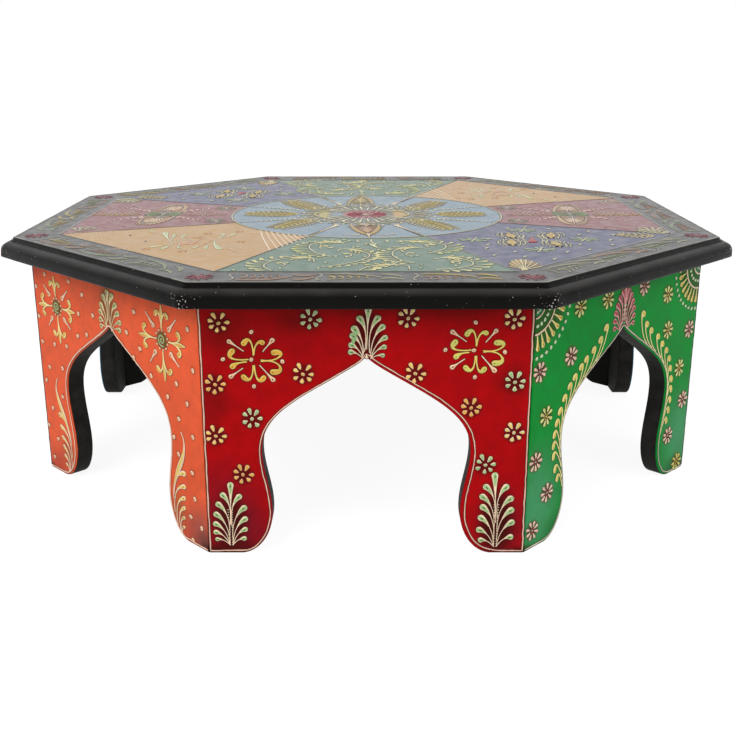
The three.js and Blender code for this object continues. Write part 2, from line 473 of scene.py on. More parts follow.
@motif
def daisy(art, edge, fill, heart, shade=None, radius=4.0, petals=8):
    """A full ring of slim drops round a small heart."""
    if shade is not None:
        art.shade((0, 0), (radius + 2.2,) * 2, shade, 0.85, hard=0.5)
    turn = art.random.uniform(0, math.tau / petals)
    for i in range(petals):
        angle = turn + (i + art.vary(0.12)) * math.tau / petals
        reach = radius + art.vary(0.25)
        art.leaf(towards(angle, reach - 1.9), towards(angle, reach), 0.82 + art.vary(0.07), edge, fill,
                 tail=0.32, swell=0.0, pricked=False, taper=0.8)
    art.ring((0, 0), 1.35, 5, 0.42, heart)
    art.dot((0, 0), 0.5, edge, heart)


# Each comma of a scroll cross, as Bezier points from the centre, with its head's size
SCROLL_COMMAS = [
    ([(0.6, 2.0), (0.6, 7.5), (-1.0, 11.4), (-3.4, 7.4)], 1.25),
    ([(0.8, 2.4), (1.0, 7.0), (3.0, 9.0), (4.6, 8.0)], 1.15),
    ([(-1.8, 0.1), (-7.0, -0.6), (-12.0, 0.2), (-8.6, 3.6)], 1.35),
    ([(-2.6, -1.0), (-5.0, -1.1), (-7.0, -1.4), (-8.4, -2.8)], 1.3),
    ([(0.3, -2.8), (0.4, -7.0), (-1.0, -11.6), (-3.9, -8.0)], 1.2),
    ([(0.9, -2.8), (0.8, -7.5), (2.0, -12.0), (4.5, -8.6)], 1.2),
    ([(4.0, -0.2), (11.5, -1.6), (16.0, 4.4), (9.7, 3.6)], 1.35),
    ([(4.0, -0.8), (12.0, 1.0), (15.6, -6.2), (9.2, -5.6)], 1.35),
]
SCROLL_COMETS = [((-3.8, 4.0), (-9.8, 8.3)), ((4.8, 3.8), (9.0, 8.8)), ((-4.3, -4.0), (-9.6, -7.7)),
                 ((3.2, -2.6), (8.9, -9.2))]


@motif
def scroll_cross(art, edge, fill):
    """Pairs of commas that curl apart on four sides, with a drop between each two pairs."""
    for points, width in SCROLL_COMMAS:
        end = np.array([art.vary(0.35), art.vary(0.35)])
        bent = [p + end * i / 3 for i, p in enumerate(np.array(points))]
        art.comma(bent, width, edge, fill, tail=0.34)
    for root, head in SCROLL_COMETS:
        art.leaf(root, head, 1.1 + art.vary(0.1), CREAM, PEACH, swell=0.45)
    for place in ((0, 12.6), (-12.8, 0.2), (13.2, -0.8), (0.4, -12.3), (-0.4, 0)):
        art.dot(place, 0.95 if any(place) else 0.8, CREAM, PEACH, pricked=True)


def fleur(art, angle, edge, fill, size=1.0):
    """Two commas back to back on a short stem, and a drop between them."""
    art.line([towards(angle, 5.6), towards(angle, 7.6 * size)], 0.42, edge)
    fork = towards(angle, 6.4 * size)
    for side in (1, -1):
        curl = [(0, 0), (4.0, 0.2 * side), (8.0, 2.4 * side), (5.0, 4.3 * side)]
        art.comma(turned(curl, angle) * size + fork, 1.3 + art.vary(0.08), edge, fill, tail=0.36)
    path = [towards(angle, r * size) for r in (8.4, 10.4, 12.6, 14.6, 15.8)]
    art.stroke(path, [0.4, 0.85, 1.15, 0.7, 0.3], edge, fill, fine=True)


def spiral(art, radius, turns, width, colour):
    """A stroke that winds outwards from near the middle."""
    shares = np.linspace(0.12, 1, int(14 * turns))
    art.stroke([towards(s * turns * math.tau, radius * s) for s in shares], width, colour)


# How large a star cross's right, upper, left and lower arms are
STAR_SIZES = (1.13, 1.03, 1.17, 1.22)


@motif
def star_cross(art):
    """A spiral heart ringed with dots, four fleurs and four comets whose heads look inwards."""
    art.shade((0, 0), (5.6, 5.6), "4c5220", 0.9, hard=0.6)
    spiral(art, 3.0, 1.8, 0.45, "8fae78")
    art.ring((0, 0), 4.7, 11, 0.58, CREAM, PEACH)
    for quarter, size in enumerate(STAR_SIZES):
        angle = quarter * math.pi / 2 + art.vary(0.06)
        fleur(art, angle, "eedf9c", GOLD, size)
        slant = angle + math.pi / 4 + art.vary(0.08)
        art.leaf(towards(slant, 15.8 + art.vary(1.0)), towards(slant, 8.8), 1.35, CREAM, PEACH, tail=0.3,
                 swell=0.3)


@motif
def sprig(art, heads, edge, fill, shade):
    """Drops whose long tails run down a middle line to its foot. heads has each one's place and size."""
    top = max(up for (_, up), _ in heads)
    art.shade((0, top * 0.42), (top * 0.62, 10.5), shade, 0.9, angle=math.pi / 2, hard=0.3)
    for (across, up), width in heads:
        side = np.sign(across) if abs(across) > 2 else 0
        root = (side * 0.7, max(up - 15.5, 0.5) if side else up * 0.35)
        art.leaf(root, (across, up), width * 1.08, edge, fill, bend=side * 0.17, tail=0.17,
                 swell=0.55 if side else 0.42)
    for side in (-1, 1):
        path = bezier([(side * 1.0, top * 0.6), (side * 0.6, top * 0.3), (side * 0.5, 0.5)], 9)
        for spot in resample(path, 1.3):
            art.dot(spot, 0.24, edge)


@motif
def palmette(art, heads, edge, fill, shade, spread=0.2):
    """A fan of drops that rises from the arch's point. heads has each one's place from the point."""
    art.shade((0, 10.5), (8.8, 13.5), shade, 0.85, hard=0.5)
    for across, up, width in heads:
        side = np.sign(across) if abs(across) > 1.5 else 0
        root = (side * (0.4 + abs(across) * spread), 1.6 + up * 0.12 - abs(across) * 0.3)
        art.leaf(root, (across, up), width * 1.06, edge, fill, bend=side * 0.15, swell=0.5, tail=0.2)


@motif
def corner_fan(art, side):
    """A quarter of a round medallion in a panel's top corner."""
    start = -math.pi / 2
    stop = start + side * math.pi / 2

    def ray(share, radius):
        return towards(start + (stop - start) * share, radius)

    art.shade((0, 0), (24, 24), "2e3c0e", 0.7, hard=0.8)
    art.shade((0, 0), (7.5, 7.5), "3f9468", 0.6, hard=0.8)
    for radius, width in ((6.9, 0.42), (14.4, 0.45)):
        art.line([ray(s, radius) for s in np.linspace(0.02, 0.98, 14)], width, CREAM)
    art.ring((0, 0), 10.6, 6, 0.95, MINT, None, start, stop)
    art.ring((0, 0), 4.2, 4, 0.7, MINT, None, start, stop)
    for i in range(8):
        share = (i + 0.5) / 8
        art.leaf(ray(share, 15.4), ray(share, 21.0), 1.3, "e3dc92", "d6ae40", tail=0.34, swell=0.15)
    art.ring((0, 0), 25.5, 11, 0.95, MINT, None, start, stop)


# Panel outline

def arch_curve(steps=16):
    """The arch from its tip down to the right foot, as (u, v) points."""
    shoulder = np.array([PANEL_HALF_WIDTH - LEG_WIDTH_AT_SHOULDER, SHOULDER_HEIGHT])
    waist = np.array([PANEL_HALF_WIDTH - LEG_WIDTH_AT_WAIST, WAIST_HEIGHT])
    foot = np.array([PANEL_HALF_WIDTH - LEG_WIDTH_AT_FOOT, 0.0])
    rise = ARCH_HEIGHT - SHOULDER_HEIGHT

    def crown(share):
        return (shoulder[0] * share[0], SHOULDER_HEIGHT + rise * share[1])

    pull = (SHOULDER_HEIGHT - WAIST_HEIGHT) * ARCH_LEG_PULL
    toe = waist[0] + (foot[0] - waist[0]) * ARCH_FOOT_PULL[0]
    curves = [
        [(0, ARCH_HEIGHT), crown(ARCH_TIP_PULL), crown(ARCH_TURN_PULL), crown(ARCH_TURN)],
        [crown(ARCH_TURN), crown(ARCH_HIP_PULL),
         (shoulder[0], SHOULDER_HEIGHT + rise * ARCH_SHOULDER_PULL), shoulder],
        [shoulder, (shoulder[0], SHOULDER_HEIGHT - pull), (waist[0], WAIST_HEIGHT + pull), waist],
        [waist, (waist[0], WAIST_HEIGHT * (1 - ARCH_LEG_PULL)), (toe, WAIST_HEIGHT * ARCH_FOOT_PULL[1]),
         foot],
    ]
    runs = [bezier(points, steps) for points in curves]
    return np.vstack([runs[0]] + [run[1:] for run in runs[1:]])


def panel_outline():
    """The wood's outline, counter-clockwise from the lower left corner."""
    right = resample(arch_curve(), GROUND_STEP)
    left = right[::-1] * (-1, 1)
    corners = [
        ((-PANEL_HALF_WIDTH, 0), left[0]),
        (right[-1], (PANEL_HALF_WIDTH, 0)),
        ((PANEL_HALF_WIDTH, 0), (PANEL_HALF_WIDTH, PANEL_HEIGHT)),
        ((PANEL_HALF_WIDTH, PANEL_HEIGHT), (-PANEL_HALF_WIDTH, PANEL_HEIGHT)),
        ((-PANEL_HALF_WIDTH, PANEL_HEIGHT), (-PANEL_HALF_WIDTH, 0)),
    ]
    runs = [resample(run, 2 * GROUND_STEP)[:-1] for run in corners]
    return np.vstack([runs[0], left[:-1], right[:-1], *runs[1:]])


def inset(outline, amount):
    """The outline moved into the wood."""
    after = np.roll(outline, -1, axis=0) - outline
    after /= np.linalg.norm(after, axis=1)[:, None]
    before = np.roll(after, 1, axis=0)
    normals = np.stack([-after[:, 1] - before[:, 1], after[:, 0] + before[:, 0]], axis=1)
    length = np.linalg.norm(normals, axis=1)[:, None]
    return outline + normals / length * amount / np.maximum(length / 2, 0.5)


def inside_wood(points, outline):
    """Whether each point lies inside a closed outline."""
    inside = np.zeros(len(points), bool)
    for a, b in zip(outline, np.roll(outline, -1, axis=0)):
        crosses = (a[1] > points[:, 1]) != (b[1] > points[:, 1])
        slope = (b[0] - a[0]) / (b[1] - a[1] if b[1] != a[1] else 1e-9)
        inside ^= crosses & (points[:, 0] < a[0] + (points[:, 1] - a[1]) * slope)
    return inside


def triangulated(outline, spacing=None):
    """Triangles that fill the outline, whose own points come first, with a grid of points inside."""
    points = [Vector(p) for p in outline]
    if spacing is not None:
        low, high = outline.min(axis=0), outline.max(axis=0)
        row_step = spacing * math.sqrt(3) / 2
        rows = np.arange(low[1] + row_step / 2, high[1], row_step)
        grid = np.array([
            (x, y)
            for i, y in enumerate(rows)
            for x in np.arange(low[0] + spacing * (0.5 + 0.5 * (i % 2)), high[0], spacing)
        ])
        shrunk = inset(outline, spacing * 0.45)
        points += [Vector(p) for p in grid[inside_wood(grid, shrunk)]]
    loop = list(range(len(outline)))
    result = delaunay_2d_cdt(points, [], [loop], 1, 1e-6)
    return np.array([tuple(p) for p in result[0]]), [tuple(f) for f in result[2]], result[3]


PAINTED_SLOT = 0
INSIDE_SLOT = 1


def panel_body():
    """Points (u, v, out), faces and material slots of one eased and mitred panel."""
    outline = panel_outline()
    front, front_faces, sources = triangulated(inset(outline, PANEL_EASING), GROUND_STEP)
    place_of = {}
    for i, source in enumerate(sources):
        for original in source:
            place_of.setdefault(original, i)
    on_mitre = np.abs(np.abs(outline[:, 0]) - PANEL_HALF_WIDTH) < 1e-6

    def ring(amount, depth):
        moved = inset(outline, amount)
        moved[:, 0] -= np.where(on_mitre, np.sign(outline[:, 0]) * depth * MITRE, 0)
        return np.column_stack([moved, np.full(len(moved), -depth)])

    def eased(a):
        return PANEL_EASING * (1 - math.sin(a)), PANEL_EASING * (1 - math.cos(a))

    rings = [ring(*eased(a)) for a in np.radians([30, 60, 90])]
    rings += [ring(0, PANEL_THICKNESS * share) for share in (0.12, 0.5)]
    for a in np.radians([0, 30, 60, 90]):
        depth, amount = eased(a)
        rings.append(ring(amount, PANEL_THICKNESS - depth))
    faces = list(front_faces)
    slots = [PAINTED_SLOT] * len(faces)
    count = len(outline)
    loop = [place_of[i] for i in range(count)]
    for number in range(len(rings)):
        start = len(front) + number * count
        new_loop = list(range(start, start + count))
        after = np.roll(loop, -1).tolist(), np.roll(new_loop, -1).tolist()
        faces += [(a, b, c, e) for a, b, e, c in zip(loop, new_loop, *after)]
        slots += [PAINTED_SLOT if number < 2 else INSIDE_SLOT] * count
        loop = new_loop
    _, back_faces, back_sources = triangulated(rings[-1][:, :2])
    faces += [tuple(loop[back_sources[i][0]] for i in reversed(face)) for face in back_faces]
    slots += [INSIDE_SLOT] * len(back_faces)
    return np.vstack([np.column_stack([front, np.zeros(len(front))]), *rings]), faces, slots


# Materials

class Shading:
    """Adds nodes to the tree of a material or of the world."""

    def __init__(self, owner):
        owner.use_nodes = True
        self.nodes = owner.node_tree.nodes
        self.links = owner.node_tree.links

    def fill(self, node, inputs):
        """Sets each input to its value, or links it where that is another node's output."""
        for name, value in inputs.items():
            if isinstance(value, bpy.types.NodeSocket):
                self.links.new(value, node.inputs[name])
            else:
                node.inputs[name].default_value = value

    def add(self, kind, result, inputs=None, **settings):
        """One more node, of which this returns the output called result."""
        node = self.nodes.new(kind)
        for name, value in settings.items():
            setattr(node, name, value)
        self.fill(node, inputs or {})
        return node.outputs[result]

    def noise(self, scale, detail=3.0, stretch=None):
        """A noise texture in the table's own coordinates, in features per metre."""
        place = self.add("ShaderNodeTexCoord", "Object")
        if stretch is not None:
            place = self.add("ShaderNodeMapping", "Vector", {"Vector": place, "Scale": stretch})
        return self.add("ShaderNodeTexNoise", "Fac", {"Vector": place, "Scale": scale, "Detail": detail})

    def spread(self, source, low, high, start=0.3, end=0.7):
        """Maps a value that lies between start and end to lie between low and high."""
        return self.add("ShaderNodeMapRange", "Result", {
            "Value": source, "From Min": start, "From Max": end, "To Min": low, "To Max": high})

    def bumps(self, *layers):
        """A normal bent by each height source in turn, to its depth in millimetres."""
        normal = {}
        for height, depth in layers:
            inputs = {"Height": height, "Distance": depth * MM, **normal}
            normal["Normal"] = self.add("ShaderNodeBump", "Normal", inputs)
        return normal["Normal"]

    def distance_from_axis(self):
        """How far each point is from the table's upright axis, in metres."""
        place = self.add("ShaderNodeTexCoord", "Object")
        flat = self.add("ShaderNodeVectorMath", "Vector", {0: place, 1: (1, 1, 0)}, operation="MULTIPLY")
        return self.add("ShaderNodeVectorMath", "Value", {0: flat}, operation="LENGTH")

    def seen_directly(self):
        """One for camera, glossy and transmission rays, and zero for the light that falls on things."""
        path = self.nodes.new("ShaderNodeLightPath")
        result = path.outputs["Is Camera Ray"]
        for name in ("Is Glossy Ray", "Is Transmission Ray"):
            result = self.add("ShaderNodeMath", 0, {0: result, 1: path.outputs[name]}, operation="MAXIMUM")
        return result


def new_material(name):
    """A material, its shading and its own shader."""
    material = bpy.data.materials.new(name)
    tree = Shading(material)
    return material, tree, tree.nodes["Principled BSDF"]


STEEL_COLOUR = (0.5, 0.5, 0.49, 1)
SPECK_SCALE = 1350
SPECK_RANGE = (0.855, 0.87)
SPECK_COLOUR = (0.5, 0.48, 0.44, 1)
# The rim's corners are chipped more than its sides
CORNER_WEAR = 0.17
CORNER_WEAR_RANGE = ((TOP_APOTHEM * CORNER_REACH - 4.5) * MM, TOP_APOTHEM * CORNER_REACH * MM)


def paint_material(name, roughness, shine, mottle=0.1, patch=160, bump=0.05, grain=0.1, specks=False):
    """Brushed paint whose colour is held by the mesh, mottled a little and sometimes specked with wear."""
    material, tree, shader = new_material(name)
    paint = tree.add("ShaderNodeAttribute", "Color", attribute_name="Paint")
    patches = tree.noise(patch, 4.0)
    tone = tree.spread(patches, 1 - mottle, 1 + mottle)
    colour = tree.add("ShaderNodeVectorMath", "Vector", {0: paint, "Scale": tone}, operation="SCALE")
    if specks:
        near_corner = tree.spread(tree.distance_from_axis(), 0.0, CORNER_WEAR, *CORNER_WEAR_RANGE)
        wear = tree.add("ShaderNodeMath", 0, {0: tree.noise(SPECK_SCALE, 0.0), 1: near_corner})
        amount = tree.spread(wear, 0.0, 0.8, *SPECK_RANGE)
        colour = tree.add("ShaderNodeMix", "Result", {"Factor": amount, "A": colour, "B": SPECK_COLOUR},
                          data_type="RGBA")
    tree.fill(shader, {
        "Base Color": colour,
        "Roughness": tree.spread(patches, roughness - 0.06, roughness + 0.08),
        "Normal": tree.bumps((tree.noise(55, 4.0, stretch=(1, 1, 9)), grain), (tree.noise(900, 2.0), bump)),
        "Specular IOR Level": shine,
    })
    return material


def steel_material():
    """Plain bright wire, dulled a little."""
    material, tree, shader = new_material("wire_nail_steel")
    dullness = tree.spread(tree.noise(1500, 2.0), 0.35, 0.6)
    tree.fill(shader, {"Base Color": STEEL_COLOUR, "Metallic": 1.0, "Roughness": dullness})
    return material


# Camera, light and ground

LENS = 50.37
FILM_WIDTH = 36
CAMERA_PLACE = (0.0008, -0.6078, 0.2251)
CAMERA_DIP = 0.3032
LAMP_TARGET = (0, 0, 0.06)
LAMP_SIZE = 1.2
WORLD_STRENGTH = 0.5
FLOOR_GLOW = 0.92
FLOOR_SEEN_COLOUR = 0.2
FLOOR_COLOUR = 0.8
FLOOR_HALF_SIZE = 4000


def make_camera():
    """The photograph's view: a normal lens, a little above the table and looking down at it."""
    data = bpy.data.cameras.new("camera")
    data.sensor_width = FILM_WIDTH
    data.lens = LENS
    camera = bpy.data.objects.new("camera", data)
    camera.location = CAMERA_PLACE
    camera.rotation_euler = (math.pi / 2 - CAMERA_DIP, 0, 0)
    bpy.context.scene.collection.objects.link(camera)
    bpy.context.scene.camera = camera


def make_lamp(name, location, power):
    """A large square lamp that is aimed at the table and leaves no mirror image."""
    data = bpy.data.lights.new(name, "AREA")
    data.shape = "SQUARE"
    data.size = LAMP_SIZE
    data.energy = power
    lamp = bpy.data.objects.new(name, data)
    lamp.location = location
    lamp.rotation_euler = (Vector(LAMP_TARGET) - Vector(location)).to_track_quat("-Z", "Y").to_euler()
    lamp.visible_glossy = False
    bpy.context.scene.collection.objects.link(lamp)


def make_world():
    """Even light, shown as plain white to the camera and in reflections."""
    world = bpy.data.worlds.new("studio")
    bpy.context.scene.world = world
    tree = Shading(world)
    level = tree.spread(tree.seen_directly(), WORLD_STRENGTH, 1.0, 0.0, 1.0)
    tree.fill(tree.nodes["Background"], {"Color": (1, 1, 1, 1), "Strength": level})


def make_floor():
    """White ground that keeps a light shadow of the table."""
    corners = [(x * FLOOR_HALF_SIZE, y * FLOOR_HALF_SIZE, 0) for x, y in ((-1, -1), (1, -1), (1, 1), (-1, 1))]
    floor = make_piece("floor", corners, [(0, 1, 2, 3)])
    material, tree, shader = new_material("white_ground")
    seen = tree.seen_directly()
    tree.fill(shader, {
        "Roughness": 1.0,
        "Specular IOR Level": 0.0,
        "Emission Color": (1, 1, 1, 1),
        "Emission Strength": tree.spread(seen, 0.0, FLOOR_GLOW, 0.0, 1.0),
        "Base Color": tree.spread(seen, FLOOR_COLOUR, FLOOR_SEEN_COLOUR, 0.0, 1.0),
    })
    floor.data.materials.append(material)


bpy.context.scene.view_settings.view_transform = "Standard"
make_camera()
make_world()
make_lamp("key", (-0.9, -1.3, 1.5), 22)
make_lamp("fill", (1.3, -1.1, 0.8), 9)
make_floor()

black_paint = paint_material("black_gloss", 0.32, 0.08, mottle=0.12, patch=130, grain=0.12, specks=True)
inside_paint = paint_material("black_inside", 0.62, 0.05, mottle=0.4, patch=130, grain=0.4)
relief_paint = paint_material("raised_paint", 0.4, 0.3, mottle=0.06, bump=0.03, grain=0.03)
ground_paint = paint_material("varnished_paint", 0.4, 0.05)
top_paint = paint_material("varnished_top", 0.3, 0.5, mottle=0.05, bump=0.02)
top_relief_paint = paint_material("raised_top_paint", 0.35, 0.5, mottle=0.06, bump=0.03, grain=0.03)


# Panels

# The drops of each palmette, as across, up and width, and of each sprig, as place and width
RED_PALMETTE = [
    (0.7, 21.6, 1.5), (-2.9, 17.7, 1.5), (4.8, 17.9, 1.45), (-5.2, 13.1, 1.6), (6.8, 14.0, 1.4),
    (-5.9, 10.0, 1.5), (8.0, 9.2, 1.25), (-6.5, 5.8, 1.4), (7.6, 5.0, 1.15), (-6.8, 2.7, 1.3),
    (7.0, 1.2, 0.95),
]
GREEN_PALMETTE = [(0, 20.3, 1.4)] + [
    (side * across, up, width)
    for across, up, width in ((2.7, 18.4, 1.4), (5.0, 15.8, 1.5), (6.8, 12.4, 1.5), (8.0, 8.8, 1.5),
                              (8.4, 5.0, 1.45), (8.2, 1.4, 1.3))
    for side in (-1, 1)
]
LEFT_SPRIG = [
    ((0.6, 30.5), 1.4), ((-3.0, 25.6), 1.35), ((4.3, 24.8), 1.35), ((-5.2, 21.0), 1.35), ((6.4, 19.2), 1.4),
    ((-6.4, 16.0), 1.35), ((6.6, 13.6), 1.35), ((-6.8, 11.2), 1.3), ((6.5, 8.4), 1.2), ((-6.9, 7.0), 1.2),
    ((5.9, 3.8), 1.15), ((-6.4, 3.4), 1.0),
]
RIGHT_SPRIG = [
    ((-1.2, 36.0), 1.5), ((-4.9, 30.4), 1.5), ((4.0, 30.4), 1.5), ((-6.4, 25.6), 1.5), ((6.2, 24.6), 1.55),
    ((-6.1, 20.4), 1.5), ((6.7, 18.9), 1.5), ((-6.8, 15.0), 1.5), ((7.2, 12.7), 1.5), ((-7.4, 9.0), 1.5),
    ((6.9, 5.4), 1.4), ((-6.6, 3.8), 1.35),
]


def border_lines(art, index, colour, depths=(1.0, 1.3), width=0.25):
    """The drawn lines along the arch, the feet and, on every other panel, the upright edges."""
    arch = arch_curve()
    wood = np.vstack([arch[::-1] * (-1, 1), arch[1:]])
    along = directions(wood)
    away = np.stack([-along[:, 1], along[:, 0]], axis=1)
    depth = np.where(wood[:, 0] < 0, *depths)[:, None] + 0.4 * smooth_step(80, 40, wood[:, 1])[:, None]
    line = resample(wood + away * depth, 2.2)
    line = line[line[:, 1] > 1.4]
    art.line(line, width, colour)
    for side, end in ((-1, line[0]), (1, line[-1])):
        art.line(resample([end, (side * 60, 1.5), (side * 72, 1.3)], 2.2), 0.3, colour)
    if index % 2 == 0:
        for side in (-1, 1):
            u = side * (PANEL_HALF_WIDTH - 0.6)
            path = resample([(u, 1.5), (u, 118.5)], 3.0)
            path[:, 0] += np.array([art.vary(0.12) for _ in path])
            art.line(path, 0.3, colour)


def off_the_arch(place, margin):
    """A place beside the arch, moved sideways if it is nearer to the opening than the margin."""
    arch = arch_curve()[::-1]
    nearest = np.interp(place[1], arch[:, 1], arch[:, 0]) + margin
    if place[1] < ARCH_HEIGHT and abs(place[0]) < nearest:
        return math.copysign(nearest, place[0]), place[1]
    return place


# Each flower's place, edge and filling
RED_FLOWERS = [
    (-64.0, 110.5, PEACH, YELLOW), (-24.2, 112.2, CREAM, LEAF), (18.2, 112.7, CREAM, YELLOW),
    (64.2, 112.2, CREAM, YELLOW), (-66.6, 82.5, PEACH, GOLD), (-27.8, 87.3, PEACH, YELLOW),
    (21.6, 87.6, PEACH, YELLOW), (65.6, 83.6, CREAM, LEAF), (-50.9, 66.4, CREAM, LEAF),
    (46.6, 71.6, PEACH, GOLD), (-67.4, 58.2, PEACH, YELLOW), (66.1, 59.8, CREAM, YELLOW),
    (-55.9, 39.5, PEACH, GOLD), (53.9, 44.2, CREAM, LEAF),
]


def red_art(index):
    art = Relief(11 + index, DARK_BROWN)
    border_lines(art, index, "e9b9a2", (0.7, 1.7))
    dull = "430a08"
    art.shade_each([((-64, 20), (24, 34)), ((-56, 10), (20, 20)), ((62, 14), (18, 26))], "6b1220", 0.62, 0.2)
    art.shade_each([((-62, 2), (17, 9)), ((60, 12), (12, 19))], "3c0c0c", 0.7, 0.3)
    art.shade_each([((-62, 104), (24, 16)), ((-30, 112), (18, 10)), ((5, 118), (34, 7)), ((64, 84), (14, 12)),
                    ((40, 116), (30, 7)), ((-70, 76), (14, 18))], dull, 0.42, 0.1)
    for u, v, edge, fill in RED_FLOWERS:
        flower(art, (u, v), edge, fill, shade=dull)
    scroll_cross(art, (-49.9, 94.0), YELLOW, GOLD)
    scroll_cross(art, (47.4, 98.3), YELLOW, LIME)
    apex = (0.2, 94.8)
    palmette(art, apex, RED_PALMETTE, CREAM, LEAF, "300604")
    with art.moved(apex):
        art.stroke([(-4.9, 13.0), (-5.3, 10.0), (-6.0, 6.6)], [0.8, 1.15, 0.7], LEAF, lift=0.1, halo=False)
        art.leaf((0, 1.8), (0, 0.4), 0.8, CREAM, pricked=False)
    sprig(art, (-62.4, 3.8), LEFT_SPRIG, CREAM, LEAF, "3a0c08")
    sprig(art, (59.6, 3.0), RIGHT_SPRIG, CREAM, LEAF, "3a0c08")
    return art, "a2060b"


# Every motif but the palmette stands this much farther right than the places below say
ORANGE_SLIP = 3.0
ORANGE_DOTS = [
    (-63, 112), (-38.8, 112), (-73.5, 103.9), (-26.5, 107), (-17.6, 98), (-31.5, 96.3), (-73.4, 87.6),
    (-25, 86.6), (-34, 84.2), (-72, 73.8), (-59.2, 74.7), (-46.5, 76.2), (-53, 62.8), (-67, 60.5),
    (-72, 52), (-55.7, 46.3), (-67.7, 37), (-74, 25.5), (-65, 19.7), (-71, 7.5), (20, 106.6), (12.5, 95.3),
    (23.2, 89.3), (15, 83.6), (31.3, 77.8), (44, 70.5), (51.7, 78.6), (59.3, 70.7), (52, 61.7),
    (62.3, 55.5), (45.2, 51.5), (50.2, 43.8), (60.3, 37.4), (61.3, 24.5), (57.2, 14.2), (65.5, 11.0),
    (65, 87.7), (62.5, 106.3), (58, 2.4),
]
ORANGE_PALMETTE = [
    (0.9, 17.5, 1.6), (-2.7, 14.9, 1.6), (5.0, 16.4, 1.6), (-5.2, 10.4, 1.6), (7.4, 12.2, 1.6),
    (-6.3, 6.8, 1.6), (9.0, 8.4, 1.55), (-6.6, 2.9, 1.55), (10.3, 4.2, 1.5), (-6.4, -0.4, 1.35),
    (9.8, 0.4, 1.45),
]
# How high each leaf at an orange foot reaches and how wide its head is
ORANGE_FOOT_LEAVES = [(35.0, 1.55), (28.2, 1.35), (22.2, 1.25), (17, 1.15), (11.8, 1.0), (6.8, 0.9)]


def orange_foot(art, edge, side):
    """A long bowed leaf and the smaller ones under it, which lean away from the arch."""
    bowed = bezier([(edge + side * across, up)
                    for across, up in ((9.8, 55.5), (15.8, 48), (8.8, 40), (2.6, 33), (1.2, 22))], 18)
    swell = np.sin(np.linspace(0, math.pi, len(bowed)) * 0.9) ** 3
    art.stroke(bowed, 0.28 + 1.3 * swell, CREAM, YELLOW, fine=True)
    art.shade((edge + side * 5, 14), (8, 14), "8a5a26", 0.6, hard=0.2)
    for i, (up, width) in enumerate(ORANGE_FOOT_LEAVES):
        root = off_the_arch((edge + side * (0.9 + 0.35 * i), max(up - 15.5, 4.6 - 0.35 * i)), 2.3)
        head = (edge + side * (10.4 - 0.45 * i), up)
        art.leaf(root, head, width, CREAM, YELLOW, bend=side * 0.28, swell=0.5)


def orange_art(index):
    art = Relief(31 + index, "8a3a1c")
    border_lines(art, index, "f0c8b0", (1.0, 0.95), 0.38)
    star_cross(art, (-53.4 + ORANGE_SLIP, 95.9))
    star_cross(art, (42.0 + ORANGE_SLIP, 97.3))
    for u, v in ORANGE_DOTS:
        place = off_the_arch((u + ORANGE_SLIP, v), 3.2)
        art.shade(place, (2.3, 2.3), "8a3c20", 0.6, hard=0.4)
        art.dot(place, 1.2, CREAM, PEACH, pricked=True)
    palmette(art, (-0.4, 94.6), ORANGE_PALMETTE, "e4d2a2", "a9b070", "6e5420")
    orange_foot(art, -50.0 + ORANGE_SLIP, -1)
    orange_foot(art, 43.2 + ORANGE_SLIP, 1)
    art.shade((-74, 116), (16, 12), "98301e", 0.7)
    art.shade((-62, 5), (18, 14), "a03a2c", 0.6)
    art.shade((60, 5), (16, 16), "a03a2c", 0.55)
    art.shade((68, 9), (16, 20), "8c4c44", 0.75, hard=0.1)
    art.shade((72, 3), (12, 10), "54342e", 0.8, hard=0.1)
    art.shade((-8, 108), (30, 16), "b04c30", 0.35)
    return art, "e35d37"


# The heads of the commas along the green arch, each with its length
LEFT_CROOKS = [
    (-16.2, 97.3, 13), (-20.5, 92.1, 12), (-25.7, 88.2, 11), (-31.6, 84.9, 10.5), (-35.5, 81.9, 9.5),
    (-40.3, 78.0, 9), (-44.0, 74.4, 9), (-47.8, 69.4, 8.5), (-50.8, 63.5, 8), (-52.7, 58.2, 7.5),
    (-53.9, 52.7, 7), (-54.1, 47.2, 7), (-53.6, 41.8, 7), (-51.8, 34.8, 6), (-49.6, 29.6, 5),
]
RIGHT_CROOKS = [
    (18.2, 97.9, 13), (22.4, 91.8, 12), (27.3, 87.6, 11), (34.6, 83.0, 10.5), (39.7, 78.0, 9.5),
    (44.5, 73.5, 9), (48.2, 68.1, 8.5), (50.3, 62.1, 8), (52.2, 55.7, 7.5), (52.6, 49.9, 7),
    (52.6, 43.8, 7), (51.8, 38.0, 7), (50.6, 32.4, 6),
]


def crook(art, line, head, length, width):
    """A comma that rises beside the arch's line and curls over to its head."""
    along = -directions(line)
    spot = int(np.argmin(np.hypot(*(line - head).T)))
    away = head - line[spot]
    away /= np.linalg.norm(away)
    up = along[spot] * 0.5 + np.array([0, 0.5])
    foot = line[min(spot + int(length), len(line) - 1)] + away * 1.9
    knee = line[min(spot + int(length * 0.4), len(line) - 1)] + away * 2.2
    bent = [foot, knee, head - away * 2.8, head - away * 2.2 + up * 4.6, head + up * 3.2, head]
    art.comma(bent, width, "e3dc92", "d8bc4c", tail=0.32)


